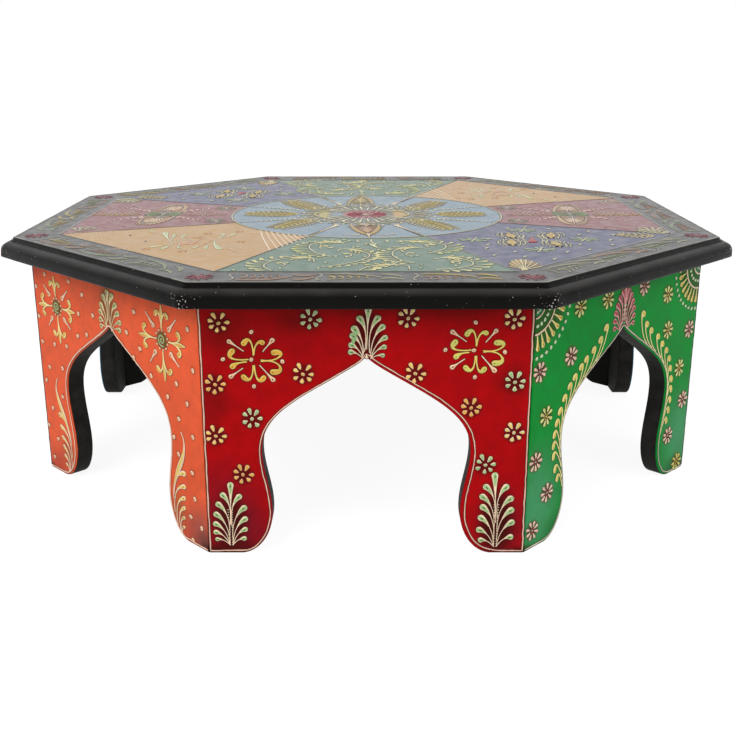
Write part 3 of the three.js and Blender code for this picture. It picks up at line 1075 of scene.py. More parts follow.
def green_art(index):
    art = Relief(51 + index, "26380e")
    border_lines(art, index, "dccdb8")
    # Lighter green over the legs: a painted reflection of the pale floor in the varnish
    art.shade_each([((-64, 22), (24, 40)), ((66, 22), (24, 36))], "4a9868", 0.75, 0.1)
    art.shade_each([((-46, 4), (16, 12)), ((62, 4), (14, 9)), ((20, 118), (30, 8))], "1c3a1a", 0.55)
    corner_fan(art, (-72.5, 119.3), 1)
    corner_fan(art, (72.3, 117.2), -1)
    for place in ((-38.5, 111.6), (-15.5, 111.5), (40.6, 104.2), (43.7, 85), (-61, 64.5), (59.4, 61)):
        daisy(art, place, "e9e2a4", LIME, GOLD, shade="38480e")
    for place in ((16.7, 112.5), (-67.6, 87), (-43.8, 89.4), (66.4, 81.2), (-67.4, 44), (66.5, 41.5),
                  (-57, 25.5), (53.8, 23.8), (-67.3, 9.5)):
        daisy(art, place, CREAM, "d8a89c", ROSE, shade="501a20")
    daisy(art, (66.0, 5.4), LIME, YELLOW, GOLD, shade="58461a")
    palmette(art, (0, 94.2), GREEN_PALMETTE, PINK, ROSE, "3a2c1a", spread=0.35)
    for row in range(5):
        for side in (-1, 0, 1):
            art.dot((side * (2.0 - row * 0.3), 97.0 + row * 2.2), 0.42, MINT)
    arch = resample(arch_curve(), 1.0)
    for crooks, side in ((LEFT_CROOKS, -1), (RIGHT_CROOKS, 1)):
        for i, (u, v, length) in enumerate(crooks):
            crook(art, arch * (side, 1), np.array([u, v], float), length, 1.5 - 0.03 * i)
    return art, "05862e"


def blue_art(index):
    art = Relief(71 + index, "0a1e30")
    border_lines(art, index, "dccdb8")
    scroll_cross(art, (-48, 96), YELLOW, GOLD)
    scroll_cross(art, (48, 96), YELLOW, GOLD)
    for side, fill, heads in ((-1, YELLOW, LEFT_SPRIG), (1, PINK, RIGHT_SPRIG)):
        for u, v in ((66, 76), (24, 110), (26, 88), (53, 62), (67, 47), (52, 43)):
            flower(art, (side * u, v), CREAM, fill, shade="0a2438")
        sprig(art, (side * 60, 3), heads, CREAM, YELLOW, "082034")
    palmette(art, (0, 94.8), RED_PALMETTE, CREAM, GOLD, "082034")
    return art, "1d6f92"


# The kinds of panel as they follow each other round the table
PANEL_KINDS = [("red_panel", red_art), ("green_panel", green_art), ("blue_panel", blue_art),
               ("orange_panel", orange_art)]


def panel_ground(points, base, art):
    """The ground colour of each point of a panel: uneven paint, the patches of its design, painted shade
    under the rim's overhang, and darkening towards the lower corners and the foot.
    """
    colours = np.tile(base, (len(points), 1))
    streaks = noise(points * (0.6, 1, 0) + (base[0] * 900, 0, 5), 34) * 0.7 + noise(points, 9) * 0.3
    colours *= (1 + 0.15 * streaks)[:, None]
    art.apply_shades(points, colours)
    # Painted shade under the top's overhang, and darker towards the panel's lower corners and its foot
    under_rim = smooth_step(PANEL_HEIGHT - 6, PANEL_HEIGHT, points[:, 1]) * 0.5
    corner = smooth_step(9, 1, np.hypot(PANEL_HALF_WIDTH - np.abs(points[:, 0]), points[:, 1] * 1.6)) * 0.95
    foot = smooth_step(4, 0, points[:, 1]) * 0.35
    darkening = np.clip(under_rim + corner + foot, 0, 0.9)
    colours += (linear(DARK_BROWN) - colours) * darkening[:, None]
    colours[points[:, 2] < -PANEL_EASING * 0.99] = linear(INSIDE_BLACK)
    return colours


body_points, body_faces, body_slots = panel_body()
for index, side in enumerate(SIDES):
    slot, draw = PANEL_KINDS[index % KINDS]
    art, base = draw(index)
    colours = panel_ground(body_points, linear(base), art)
    place = panel_placer(index)
    panel = make_piece(f"{side}_panel_painted", place(body_points), body_faces, colours, body_slots)
    panel.data.materials.append(ground_paint)
    panel.data.materials.append(inside_paint)
    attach(panel, "root")
    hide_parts(f"{side}_panel")
    art.make(f"{side}_panel_relief", place, relief_paint, slot)


# The top's painted design

TEAL = "3d6650"
LAVENDER = "272b5c"
MAUVE = "78222d"
TAN = "b98b40"
SKY = "6c8798"
CRIMSON = "8c1c26"
BAND = "0f0e0e"
SECTOR_COLOURS = [TEAL, LAVENDER, MAUVE, TAN]
# Dark rims round the disc's strokes: dark outline paint, wide enough to be painted shadow of the raised
# strokes as well
HALO_ON_TOP = "1a1a12"
# The paint on the top is thinner than on the panels
TOP_RISE = 0.55
# Dark rims round each sector's strokes, and their widths: dark outline paint, widened where it is also
# painted shadow of the raised strokes
SECTOR_HALOS = ["26382a", "1e1e30", "44242a", "86643c"]
SECTOR_HALO_WIDTHS = [0.5, 0.5, 0.45, 0.26]
DULL_CREAM = "c8bc98"
DULL_GOLD = "9c8034"
DULL_LEAF = "768c5c"
DULL_MINT = "a3b18e"
DULL_PINK = "a67a68"

# The fronds of the teal sector: places along the stem from foot to tip, which side the crest is on (1 is
# right of the way to the tip), the shares of the stem where the crest and the leaf after it end, and how far
# out the crest goes
FRONDS = [
    ([(-42, -160), (-46, -152), (-46, -145), (-43, -138), (-36, -132), (-29, -130), (-25, -133), (-24, -141)],
     -1, 0.62, 0.84, 8.2),
    ([(-17, -128), (-23, -121), (-26, -114), (-28, -106), (-28, -99), (-25, -93), (-19, -90), (-11, -93)],
     -1, 0.7, 1.0, 8.2),
    ([(-20, -152), (-12, -147), (-4, -139), (0.5, -131), (1.5, -124), (-1, -117), (-7, -111), (-12, -110),
      (-14, -115)], 1, 0.7, 0.88, 4.6),
    ([(22, -144), (17, -138), (14, -131), (12.5, -124), (13, -116), (16, -109), (22, -105.5), (28, -108)],
     -1, 0.68, 0.95, 7.6),
    ([(30, -120), (36, -113), (39, -106), (39, -99), (35, -93), (28, -90), (20, -88), (15, -90)],
     1, 0.62, 0.92, 8.2),
    ([(31, -158), (40, -155), (46.5, -150), (49, -144), (47.5, -138), (43, -132), (37, -130.5), (31, -135)],
     1, 0.68, 0.88, 8.2),
    ([(-3, -160), (0, -153), (5, -149), (11, -147), (16, -147), (19, -150), (19.5, -158)], 1, 0.3, 0.62, 6.5),
]
FERN_CREAM = "e0d9ac"
FERN_TINTS = [(FERN_CREAM, "d6c56c"), ("d2d09a", "b8bf6e"), (FERN_CREAM, "c9b968")]


def frond(art, places, side, crest, leaf_end, far, edge, fill):
    """A curved stem with a crest of drops on its outer side, which swells into a leaf before its tip."""
    path = through(places, 0.8)
    along = directions(path)
    out = np.stack([along[:, 1], -along[:, 0]], axis=1) * side
    shares = np.linspace(0, 1, len(path))
    swell = np.sin(np.clip((shares - crest) / (leaf_end - crest), 0, 1) * math.pi)
    art.stroke(path[::2], (0.3 + 1.15 * swell)[::2], FERN_CREAM, "c2ae50", fine=True)
    for spot in range(3, int(crest * len(path)), 5):
        reach = far * (0.5 + 0.5 * math.sin(math.pi * shares[spot] / crest)) + art.vary(0.4)
        root = path[spot] + out[spot] * 1.4
        head = path[spot] + out[spot] * reach + along[spot] * reach * 0.25
        art.leaf(root, head, 1.12, edge, fill, bend=-side * 0.2, swell=0.25, pricked=False)
    for share in (0.2, 0.5, 0.8):
        spot = int((crest + (leaf_end - crest) * share) * len(path)) - 1
        for way, reach in ((1, 4.2), (-1, 3.6)):
            root = path[spot] + out[spot] * way * 1.5
            head = root + (out[spot] * way - along[spot]) * reach * 0.7
            art.drop(root, head, 0.72, edge, fill, swell=0.1)


def scatter(art, count, reach, margin, size, change, colour):
    """Loose dots over a sector, whose distance from the table's middle lies in the given reach."""
    for _ in range(count):
        y = -art.random.uniform(*reach)
        x = art.random.uniform(-1, 1) * (abs(y) * MITRE - margin)
        art.dot((x, y), size + art.vary(change) if change else size, colour)


def fern_sector(art):
    for i, stem in enumerate(FRONDS):
        frond(art, *stem, *FERN_TINTS[i % 3])
    art.leaf((7, -108), (3.5, -97), 1.8, FERN_CREAM, DULL_MINT, bend=0.15, swell=0.2)
    art.line([(3.4, -94), (2.2, -88), (2.5, -83)], 0.3, FERN_CREAM)
    for x in (-14, -5, 10, 17, 27):
        art.drop((x, -85.5), (x + 0.6, -89), 1.0, FERN_CREAM)
    for x, y, turn in ((-38, -150, -1), (-22, -108, 1), (-8, -128, -1), (20, -126, 1), (31, -104, 1),
                       (42, -146, -1)):
        curl = [(x, y), (x - turn * 2.5, y + 4), (x, y + 8), (x + turn * 2.5, y + 6)]
        art.comma(curl, 0.85, FERN_CREAM, YELLOW)
    scatter(art, 64, (84, 159), 4, 0.78, 0.12, FERN_CREAM)


def pointed_leaf(art, base, tip, half_width, edge, fill, ground, ribs=7, fringe=1.0):
    """A long leaf: two drawn edges, a vein, slanting drops between and small drops along the outside."""
    base, span, length, angle, along, across = line_frame(base, tip)
    middle = base + span * 0.5
    tip = base + span
    art.shade(middle, (length * 0.5, half_width * 0.85), ground, 0.85, angle=angle, hard=0.7)
    art.line([base, middle, tip], 0.3, edge)
    for out in (across, -across):
        swell = out * half_width * 1.3
        outline = bezier([base, base + span * 0.1 + swell, base + span * 0.7 + swell, tip], 14)
        art.stroke(outline, 0.5, edge, fill)
        for spot in resample(outline[1:-1] + out * 1.2, 2.9):
            art.drop(spot, spot + (out + along * 0.7) * fringe, 0.62, DULL_CREAM)
        for i in range(ribs):
            share = 0.08 + 0.72 * i / (ribs - 1)
            width = half_width * math.sin(math.pi * (0.14 + 0.72 * share)) * 0.74
            root = base + span * share
            art.drop(root, root + span * 0.09 + out * width, 0.72, edge, fill, tail=0.35)


def shell(art, base, tip, half_width, edge, fill, rib, ground, sharpness=1.0, edge_widths=(0.35, 0.9)):
    """A fan-shaped leaf: ribs that spread from its base towards a swelling drawn edge. A sharpness of 1
    makes its outline half an oval, and 2 one with a point. Its edge has a width for each side."""
    base, span, length, angle, _, across = line_frame(base, tip)
    art.shade(base + span * 0.46, (length * 0.54, half_width * 0.95), ground, 0.9, angle=angle, hard=0.75)
    art.line([base + span * share for share in (0.1, 0.5, 0.9)], 0.34, rib)
    sweep = np.linspace(0, math.pi / 2, 17)
    for out, edge_width in zip((across, -across), edge_widths):
        wide = np.cos(sweep) ** sharpness * half_width
        outline = base + np.sin(sweep)[:, None] * span + wide[:, None] * out
        art.stroke(outline, 0.3 + edge_width * np.sin(np.linspace(0.1, math.pi, 17)), edge, fill, fine=True)
        for reach in outline[2:16:2] - base:
            art.drop(base + span * 0.06 + reach * 0.3, base + reach * 0.78, 0.62, rib)
            art.dot(base + reach * (1 + 2.6 / np.linalg.norm(reach)), 0.55, rib)


# Each leaf's direction in degrees and its share of the spray's size
LOBES = [(18, 1.0), (-24, 0.9), (162, 1.0), (204, 0.9), (68, 0.75), (112, 0.75), (248, 0.75), (292, 0.75)]


@motif
def lobed(art, size, edge, fill):
    """A small spray of leaves that spread both ways from a dot."""
    for degrees, share in LOBES:
        angle = math.radians(degrees + art.vary(8))
        art.drop(towards(angle, size * 0.25), towards(angle, size * share), 1.0, edge, fill, tail=0.4)
    art.dot((0, 0), 0.8, CREAM)


@motif
def small_fan(art, angle, count, reach, width, edge, fill):
    """Drops spread from one point."""
    for i in range(count):
        step = i - (count - 1) / 2
        slant = angle + step * 0.34
        art.drop(towards(slant, 1.5), towards(slant, reach - abs(step) * 0.6), width, edge, fill, swell=0.2)


def herringbone(art, start, end, reach, edge, fill, ground):
    """Pairs of short drops on both sides of a line from start to end, on a ground of their own colour."""
    start, span, length, angle, along, across = line_frame(start, end)
    art.shade(start + span * 0.5, (length * 0.55, reach), ground, 0.75, angle=angle, hard=0.5)
    for spot in resample([start, start + span], 3.0):
        share = np.dot(spot - start, along) / length
        far = reach * (0.55 + 0.45 * math.sin(math.pi * share))
        for out in (across, -across):
            art.drop(spot + out * 0.7, spot + out * far + along * 1.4, 0.78, edge, fill)


MAUVE_MIDDLE = (0, -120)


@motif
def mauve_cross(art):
    """A green rosette with a shell at each side, a herringbone above and below, and rows of beads between."""
    for side in (1, -1):
        shell(art, (side * 7, 0), (side * 36, side * -4), 8.0, DULL_CREAM, "b98c48", "e0c0a0", "6c5444", 0.9,
              (0.15, 0.8)[::side])
        for other in (1, -1):
            art.beads((side * 11.5, other * 11), (side * 24, other * 27), 6, 1.6, 0.7, "e8c8b0")
        lobed(art, (side * 24, 34), 7, "a8a890", "6c745c")
        small_fan(art, (side * 60, -34), math.pi / 2 + side * math.pi / 2, 4, 13, 1.4, DULL_CREAM, DULL_LEAF)
    herringbone(art, (0, 37), (0, 13), 4.6, "d2a88a", "a87858", "8c5048")
    herringbone(art, (0, -14), (0, -40), 5.4, "cca468", "b88a3c", "9c6a3c")
    art.shade((0, 0), (9, 10), "34463a", 0.95, hard=0.75)
    for way in (1, -1):
        for lean in (-7.5, -4.5, -1.4, 1.4, 4.5, 7.5):
            head = (lean, way * (10.5 - abs(lean) * 0.45))
            art.drop((lean * 0.5, way * 1.6), head, 1.05, DULL_MINT, "5c7c54", swell=0.1)
    art.dot((0, 0), 1.5, DULL_CREAM, DULL_MINT)


def mauve_sector(art):
    mauve_cross(art, MAUVE_MIDDLE)
    scatter(art, 26, (88, 157), 5, 0.42, 0, "c79a94")


LAVENDER_DOTS = [
    (27, 14), (45, 13), (-22, 1), (-24, -14), (22, -14), (38, -15), (-24, -42), (-10, -45), (12, -34),
    (24, -28), (3, -51), (-26, -24), (-13, -33), (14, 32), (2, 38), (-8, 34), (40, -2), (34, 24),
]
# The gold leaves round the crimson heart, as base and tip
LAVENDER_LEAVES = [
    ((-9, 3.5), (-10, 18)), ((-11, -1), (-12, -16.5)), ((10.5, 4), (13, 19)), ((9.5, -5), (11, -19.5)),
]


def seed_leaf(art, base, tip):
    """A gold leaf with a row of ticks along it, between rows of small dashes."""
    base, tip = np.array(base, float), np.array(tip, float)
    art.shade((base + tip) / 2, (5.6, 10), "6e6a58", 0.75, hard=0.5)
    body = resample([base, tip], 1.2)
    art.stroke(body, 0.7 + 1.9 * np.sin(np.linspace(0, math.pi, len(body))), "c8b064", "b08a38")
    for spot in body[2:-1:3]:
        art.stroke([spot - (1.2, 0.5), spot + (0, 0.6), spot + (1.2, -0.5)], 0.34, "d8c88c", lift=0.3)
    for side in (1, -1):
        for offset, size in ((4.0, 0.46), (6.3, 0.4)):
            reach = np.array([side * offset, 0])
            loop = bezier([base + reach * 0.6, base * 0.6 + tip * 0.4 + reach * 1.5, tip + reach * 0.8], 12)
            for spot in resample(loop, 3.0):
                art.stroke([spot - (0, 0.7), spot + (0, 0.7)], size, "d2caa4")


def lavender_sector(art):
    art.leaf((1.2, 9), (-0.5, -6), 2.7, "9c4450", "a02432", swell=0.1)
    for base, tip in LAVENDER_LEAVES:
        seed_leaf(art, base, tip)
    for x in (-3.4, 4.2, 6.2):
        art.line(bezier([(x * 0.9, -9), (x * 1.7, 1), (x * 0.8, 11)], 8), 0.34, DULL_CREAM)
    for place in ((-30, -1), (27, 0), (-1, 28), (0, -28)):
        lobed(art, place, 7, "c0cba8", "7f9a66")
        art.shade(place, (5.5, 6), "30383a", 0.6, hard=0.4)
    for u, v in LAVENDER_DOTS:
        art.stroke([(u - 0.6, v - 0.7), (u + 0.6, v + 0.7)], 0.6, FERN_CREAM)


@motif
def rib_fan(art):
    """A half-round fan with its foot at zero: long cream ribs with short gold ones between."""
    def rim(degrees, across, up):
        angle = math.radians(degrees)
        return np.array([1.4 + across * math.sin(angle), 4.0 + up * math.cos(angle)])

    art.shade((1.4, 11), (7.4, 12), "7c5c34", 0.95, hard=0.7)
    for i in range(9):
        art.drop((0, 0), rim(20 * i - 80, 7.2, 19.5), 0.55, "d8c690")
        if i:
            between = rim(20 * i - 90, 6.9, 18.5)
            art.drop(between * 0.6, between, 0.7, "a8843c")
    art.stroke([(-0.7, 0), (0.7, 0)], 0.9, "dcc890")


# The leaves of the tan sector, each as Bezier points to its head, with the head's size
TAN_LEAVES = [
    ([(-10, -4), (-14, 4), (-16, 12), (-19, 24)], 1.5), ([(-12, 2), (-13, 8), (-12, 12), (-13, 18)], 1.1),
    ([(-5, 4), (-8, 8), (-9, 12), (-7, 17)], 0.9), ([(-9, -8), (-12, -10), (-14, -13), (-18, -16)], 1.1),
    ([(-9, -8), (-10, -12), (-10, -15), (-12, -20)], 1.2),
    ([(-6, -8), (-5, -12), (-6, -15), (-4, -19)], 0.9), ([(12, 10), (9, 2), (11, -8), (16, -21)], 1.5),
    ([(12, 8), (13, 13), (14, 16), (12, 20)], 1.1), ([(12, 8), (15, 11), (17, 15), (18, 20)], 1.1),
    ([(7, -6), (5, -10), (5, -14), (3, -18)], 1.0), ([(8, -6), (10, -11), (8, -15), (9, -20)], 1.1),
    ([(-24, 23), (-25, 26), (-27, 28), (-28, 31)], 0.9),
]
TAN_SWIRLS = [
    [(-6, 10), (0, 6), (-4, -3), (1, -8)], [(5, 9), (-1, 3), (5, -2), (-2, -8)],
    [(-9, 3), (-6, -2), (-8, -6), (-4, -9)], [(9, 2), (6, -1), (9, -5), (5, -9)],
    [(-2, 13), (-4, 9), (2, 8), (2, 14)],
]


def tan_sector(art):
    for points, width in TAN_LEAVES:
        art.comma(points, width, "d9d6b4", "adc48e", tail=0.26)
    for points in TAN_SWIRLS:
        art.comma(points, 0.85, "d8b08c", "bb7460", tail=0.24)
    for place in ((4, 22), (24, -2), (-1, -27), (-20, -21), (20, 28)):
        art.ring(place, 1.8, 5, 0.45, "c88a70")
    for head, root in (((21, -20), (27, -31)), ((-30, -22), (-37, -19)), ((27, 24), (31, 22))):
        art.drop(root, head, 0.5, CREAM, swell=0.4)
    for u, v in ((-36, 17), (-24.5, 0)):
        art.stroke([(u - 0.3, v + 1.0), (u + 0.3, v - 1.0)], 0.5, "4a3424", halo=False)
    for t in np.linspace(0, 1, 9):
        start = np.array([31 + 25 * t, 31 - 16 * t])
        end = np.array([41 + 17 * t ** 0.8, -24 + 36 * t])
        path = resample(bezier([start, start * 0.6 + end * 0.4 + (-1, 0), end], 12), 4)
        art.stroke(path, 0.42, CREAM, halo=False)


def hatching(art):
    """Fine parallel lines in the sharp corner between the mauve sector and the band."""
    corner = towards(-math.pi + SIDE_ANGLE / 2, BAND_APOTHEM * CORNER_REACH)
    for t in np.arange(3, 31, 1.5):
        start = corner + towards(SIDE_ANGLE / 2, t)
        end = corner + towards(-SIDE_ANGLE, t * 1.4)
        art.stroke(resample([start, end], 8), 0.24, "dcb98a", halo=False)


# The disc's long leaves: base, tip and half width
DISC_LEAVES = [
    ((41, 0), (70, 1), 7.0), ((27, 17), (46, 54), 5.2), ((-29, 18), (-50, 57), 5.2),
    ((-41, 1), (-72, 2), 7.0), ((-30, -18), (-50, -50), 5.2), ((26, -19), (46, -54), 5.2),
]
# The grounds of the disc's heart: centre, radii, colour, strength and how hard the edge is. The second
# darkens the ground between the rays as painted shade.
HEART_SHADES = [
    ((0, 0), (42, 39), "66634e", 0.9, 0.85), ((-1, 0), (29, 30), "4c4936", 0.6, 0.6),
    ((-17.5, 0), (5.0, 8), SKY, 0.9, 0.5), ((-25.5, 0), (4, 14), "a99a38", 1.0, 0.75),
    ((19.5, 1), (4.6, 13), "b98c2a", 1.0, 0.75), ((-1.2, 0), (13, 14), "a42c42", 1.0, 0.9),
]


def disc_heart(art):
    """The crimson heart with its rays, and the gold drops at its left and right."""
    for centre, radii, colour, strength, hard in HEART_SHADES:
        art.shade(centre, radii, colour, strength, hard=hard)
    for side, inner, outer in ((-1, 22, 31), (1, 15.5, 25)):
        for up in (1, -1):
            path = bezier([(side * inner, up * 15), (side * (outer - 2), up * 9), (side * outer, 0)], 9)
            art.stroke(path, 0.5, "d8c87e")
    for i in range(16):
        angle = i * math.tau / 16
        art.leaf(towards(angle, 3.8), towards(angle, 11), 0.62, "b0485a", "a02a3c", swell=0.1, pricked=False)
    art.comma([(4, 1), (0, 3.4), (-4.5, 0.5), (0, -2.4)], 1.1, CREAM, DULL_PINK)
    with art.moved((-1.2, 0)):
        for i in range(34):
            angle = i * math.tau / 34
            if abs(math.cos(angle)) <= 0.86:
                reach = 28 if i % 2 else 24
                art.drop(towards(angle, 14.5), towards(angle, reach), 0.95, "e2dcc0")
                art.dot(towards(angle, reach + 2.8), 0.8, DULL_CREAM)


def disc_design(art):
    disc_heart(art)
    for i in range(28):
        angle = i * math.tau / 28
        wave = [towards(angle, 29), towards(angle + 0.02, 33), towards(angle + 0.14, 34.5)]
        art.stroke(bezier(wave, 7), 0.7, DULL_CREAM, DULL_MINT if i % 3 else DULL_GOLD)
        art.dot(towards(angle + 0.1, 37.5), 1.2, "d8d2b4" if i % 2 else DULL_MINT)
        art.dot(towards(angle, 40.8), 0.9, CREAM)
    for base, tip, half_width in DISC_LEAVES:
        pointed_leaf(art, base, tip, half_width, "cbbd74", "bb9a3c", "8a7030", ribs=8, fringe=2.8)
    shell(art, (-1, -36), (1, -69), 7.6, "b09a58", "b48c34", "b88c60", "6b5440", 1.6, (1.1, 1.1))
    shell(art, (-4, 37), (-4, 74), 7.6, "b09a58", "a88a34", "b8a058", "6b5e48", 1.3, (0.8, 0.8))
    art.stroke([(-2.6, -36.6), (0.8, -36.6)], 1.3, CREAM)
    art.leaf((1.6, -79), (1, -68), 1.4, CREAM, pricked=False)
    art.leaf((-12, -70), (-4, -69), 0.9, CREAM, DULL_CREAM, pricked=False)
    art.line([(4, -68.6), (9, -70), (13.5, -68)], 0.35, CREAM)
    art.dot((14, -67.5), 0.9, CREAM)
    art.leaf((-3, 80), (-2.6, 70), 1.2, CREAM, DULL_PINK, pricked=False)
    for k in range(len(SIDES)):
        angle = (k + 0.5) * SIDE_ANGLE
        aside = towards(angle + math.pi / 2, 0.55)
        if abs(math.sin(angle)) > 0.7:
            art.leaf(towards(angle, 64), towards(angle, 43), 1.6, CREAM, FERN_CREAM, tail=0.42, pricked=False)
            art.line([towards(angle, 56) - aside, towards(angle, 79) - aside], 0.55, "3c3a2e")
            art.line([towards(angle, 62) + aside, towards(angle, 79) + aside], 0.36, DULL_CREAM)
        else:
            art.beads(towards(angle, 45), towards(angle, 76), 12, 1.35, 0.6, "d6ceb0")
    art.line([towards(a, DISC_RADIUS) for a in np.linspace(0, math.tau, 120)], 0.42, DULL_CREAM)


# The band's ornament: the cream, green, gold and brown of its runs
BAND_CREAM = "b4ac94"
BAND_TINTS = [("aaa488", "6c7250"), ("b4a264", "9a8440"),
              ("a88a70", "744c40"), ("949c78", "5a6846")]
# Where the three runs on each side start
BAND_STARTS = (-58, -19, 20)
# The long thin leaves of each run of the band, as Bezier points and their widths
BAND_LEAVES = [
    ([(3, -5.5), (12, -6.8), (21, -5.4), (27, 1.5)], 0.75), ([(27, -5), (30, -6), (34, -4), (36, 0)], 0.9),
    ([(27, 4), (30, 1), (34, 2), (37, 5)], 0.7),
]


@motif
def band_run(art, flip, hook_tints, leaf_tints):
    """A waved line, a row of hooks and long thin leaves. flip is -1 where the run is upside down."""
    up = (1, flip)
    art.stroke(bezier([(0.5, 6.5), (-4, 3), (4.5, -1), (0, -6.5)], 12) * up, 0.3, BAND_CREAM)
    for i in range(5):
        size = 1 - 0.13 * i
        left = 4.5 + 3.9 * i
        hook = np.array([(left, 5.4 * size), (left + 3.2 * size, 4.4 * size), (left + 3.4 * size, -0.6),
                         (left + 0.6, -0.9)])
        art.comma(hook * up, 0.95 * size, *hook_tints, tail=0.28)
    for points, width in BAND_LEAVES:
        path = bezier(points, 14) * up
        swell = np.sin(np.linspace(0.05, 1, len(path)) * math.pi)
        art.stroke(path, 0.25 + width * swell, *leaf_tints, fine=True)


def band_side(art):
    """Three runs along one side of the dark band."""
    for x in BAND_STARTS:
        hook_tints = art.random.choice(BAND_TINTS)
        leaf_tints = art.random.choice(BAND_TINTS)
        flip = art.random.choice((1, -1))
        band_run(art, (x + art.vary(2), -(BAND_APOTHEM + FACE_APOTHEM) / 2), flip, hook_tints, leaf_tints)


def corner_angle(index):
    """The direction of the octagon's corner before a side."""
    return -math.pi / 2 + (index - 0.5) * SIDE_ANGLE


def at_corner(index, apothem):
    return towards(corner_angle(index), apothem * CORNER_REACH)


def octagon_line(art, apothem, width, colours):
    """A line along the eight sides at a distance from the centre; colours has one for each kind of sector."""
    for i in range(len(SIDES)):
        path = resample([at_corner(i, apothem), at_corner(i + 1, apothem)], 4.0)
        art.line(path, width, colours[i % KINDS])


def band_corner(band, index):
    """A double daisy where two sides of the band meet, pale strokes at the face's edge that are worn paint
    and painted highlight together, and a sector's boundary.
    """
    daisy(band, at_corner(index, 173), "803846", "641826", CRIMSON, radius=5.4, petals=10)
    daisy(band, at_corner(index, 173), "8c4c54", "741e2c", CRIMSON, radius=2.8, petals=6)
    # Pale strokes along the edge at the corner: worn paint together with painted highlight
    worn = at_corner(index, FACE_APOTHEM - 0.7)
    for side in (1, -1):
        along = towards(corner_angle(index) + side * (math.pi + SIDE_ANGLE) / 2, 1)
        path = [worn + along * 0.6, worn + along * (5 + band.random.uniform(0, 9))]
        band.stroke(resample(path, 2), 0.42, "a59e92", halo=False)
    boundary = [towards(corner_angle(index), DISC_RADIUS), at_corner(index, BAND_APOTHEM)]
    band.line(resample(boundary, 4.0), 0.26, "a9a795" if index % KINDS == 1 else "5a5a4c")


def draw_sector(art, index):
    """One sector's design. Those opposite each other have the same one, turned half round."""
    angle = index * SIDE_ANGLE
    far = index in (3, 5)
    kind = index % KINDS
    if kind == 0:
        fern_sector(art.at((0, 0), angle))
    elif kind == 1:
        lavender_sector(art.at((-85, 87), math.pi) if far else art.at((85, -83)))
        art.at((0, 0), angle - SIDE_ANGLE)
        rib_fan(art, (70.4, -158.5))
        pointed_leaf(art, (150, -74), (132, -68), 5, DULL_CREAM, DULL_GOLD, "5e4a30", ribs=5)
        pointed_leaf(art, (160, -64), (147, -54), 4.5, DULL_CREAM, DULL_MINT, "48502e", ribs=5)
    elif kind == 2:
        mauve_sector(art.at((0, 0), angle))
    else:
        tan_sector(art.at((88, 90), math.pi) if far else art.at((-88, -88)))
        hatching(art.at((0, 0), angle + SIDE_ANGLE))


def top_arts():
    """The relief of each sector, of the disc and of the band."""
    sectors = []
    for index in range(len(SIDES)):
        art = Relief(101 + index, SECTOR_HALOS[index % KINDS], SECTOR_HALO_WIDTHS[index % KINDS], TOP_RISE)
        draw_sector(art, index)
        sectors.append(art)
    disc = Relief(121, HALO_ON_TOP, 0.5, TOP_RISE)
    disc_design(disc)
    band = Relief(131, BAND, rise=TOP_RISE)
    for index in range(len(SIDES)):
        band_side(band.at((0, 0), index * SIDE_ANGLE))
        band_corner(band.at((0, 0)), index)
    octagon_line(band, BAND_APOTHEM, 0.34, ["5c5a50", "a3a0a2", "a3a0a2", "6e6456"])
    # A pale line along the face's edge: painted highlight where the rounded edge catches the light
    octagon_line(band, FACE_APOTHEM - 0.8, 0.3, ["8d877c"] * 4)
    return sectors, disc, band


# The top's mesh: its points round each ring, and the part that each face belongs to, which is one of the
# eight sectors or one of these
AROUND = len(SIDES) * COLUMNS
DISC_PART = 8
BAND_PART = 9
RIM_PART = 10
FACE_SLOT = 0
RIM_SLOT = 1
# The innermost ring's radius, and how far the last ring of the band is from the face's edge
FIRST_RADIUS = 0.6
FACE_MARGIN = 0.9
FACE_HEIGHT = TABLE_HEIGHT + PAINT_LIFT
UNDER_HEIGHT = TABLE_HEIGHT - TOP_THICKNESS
OVOLO_TOP = TABLE_HEIGHT - RIM_STEP_DROP - RIM_QUIRK_DROP


def octagon_ring(apothem):
    """Points round an octagon, as many on each side, counter-clockwise from the front's left corner."""
    share = np.arange(COLUMNS) / COLUMNS * 2 - 1
    side = np.stack([share * apothem * MITRE, np.full(COLUMNS, -apothem)], axis=1)
    return np.vstack([turned(side, k * SIDE_ANGLE) for k in range(len(SIDES))])


def circle_ring(radius):
    """Points round a circle, in the directions of an octagon's points."""
    ring = octagon_ring(1.0)
    return ring / np.linalg.norm(ring, axis=1)[:, None] * radius


def rim_profile():
    """The moulding from the painted face's edge down to the underside, as (apothem, height)."""
    face = FACE_APOTHEM
    ledge = FACE_APOTHEM + RIM_LEDGE_WIDTH
    ledge_height = TABLE_HEIGHT - RIM_STEP_DROP
    ovolo = [
        (TOP_APOTHEM - RIM_OVOLO_WIDTH * (1 - math.cos(a)), OVOLO_TOP - RIM_OVOLO_DROP * (1 - math.sin(a)))
        for a in np.linspace(math.pi / 2, 0, 9)
    ]
    edge_middle = (OVOLO_TOP - RIM_OVOLO_DROP + UNDER_HEIGHT) / 2
    return [
        (face - 0.5, FACE_HEIGHT), (face - 0.15, TABLE_HEIGHT - 0.05), (face, TABLE_HEIGHT - 0.45),
        (face, ledge_height + 0.2), (face + 0.2, ledge_height), (ledge - 0.2, ledge_height),
        (ledge, ledge_height - 0.15), (ledge, OVOLO_TOP), *ovolo[1:], (TOP_APOTHEM, edge_middle),
        (TOP_APOTHEM, UNDER_HEIGHT + RIM_UNDER_EASING), (TOP_APOTHEM - 0.25, UNDER_HEIGHT + 0.25),
        *[(apothem, UNDER_HEIGHT) for apothem in (
            TOP_APOTHEM - RIM_UNDER_EASING, TOP_APOTHEM - 6, PANEL_APOTHEM + 2,
            PANEL_APOTHEM - PANEL_THICKNESS - 2, 80, 2)],
    ]


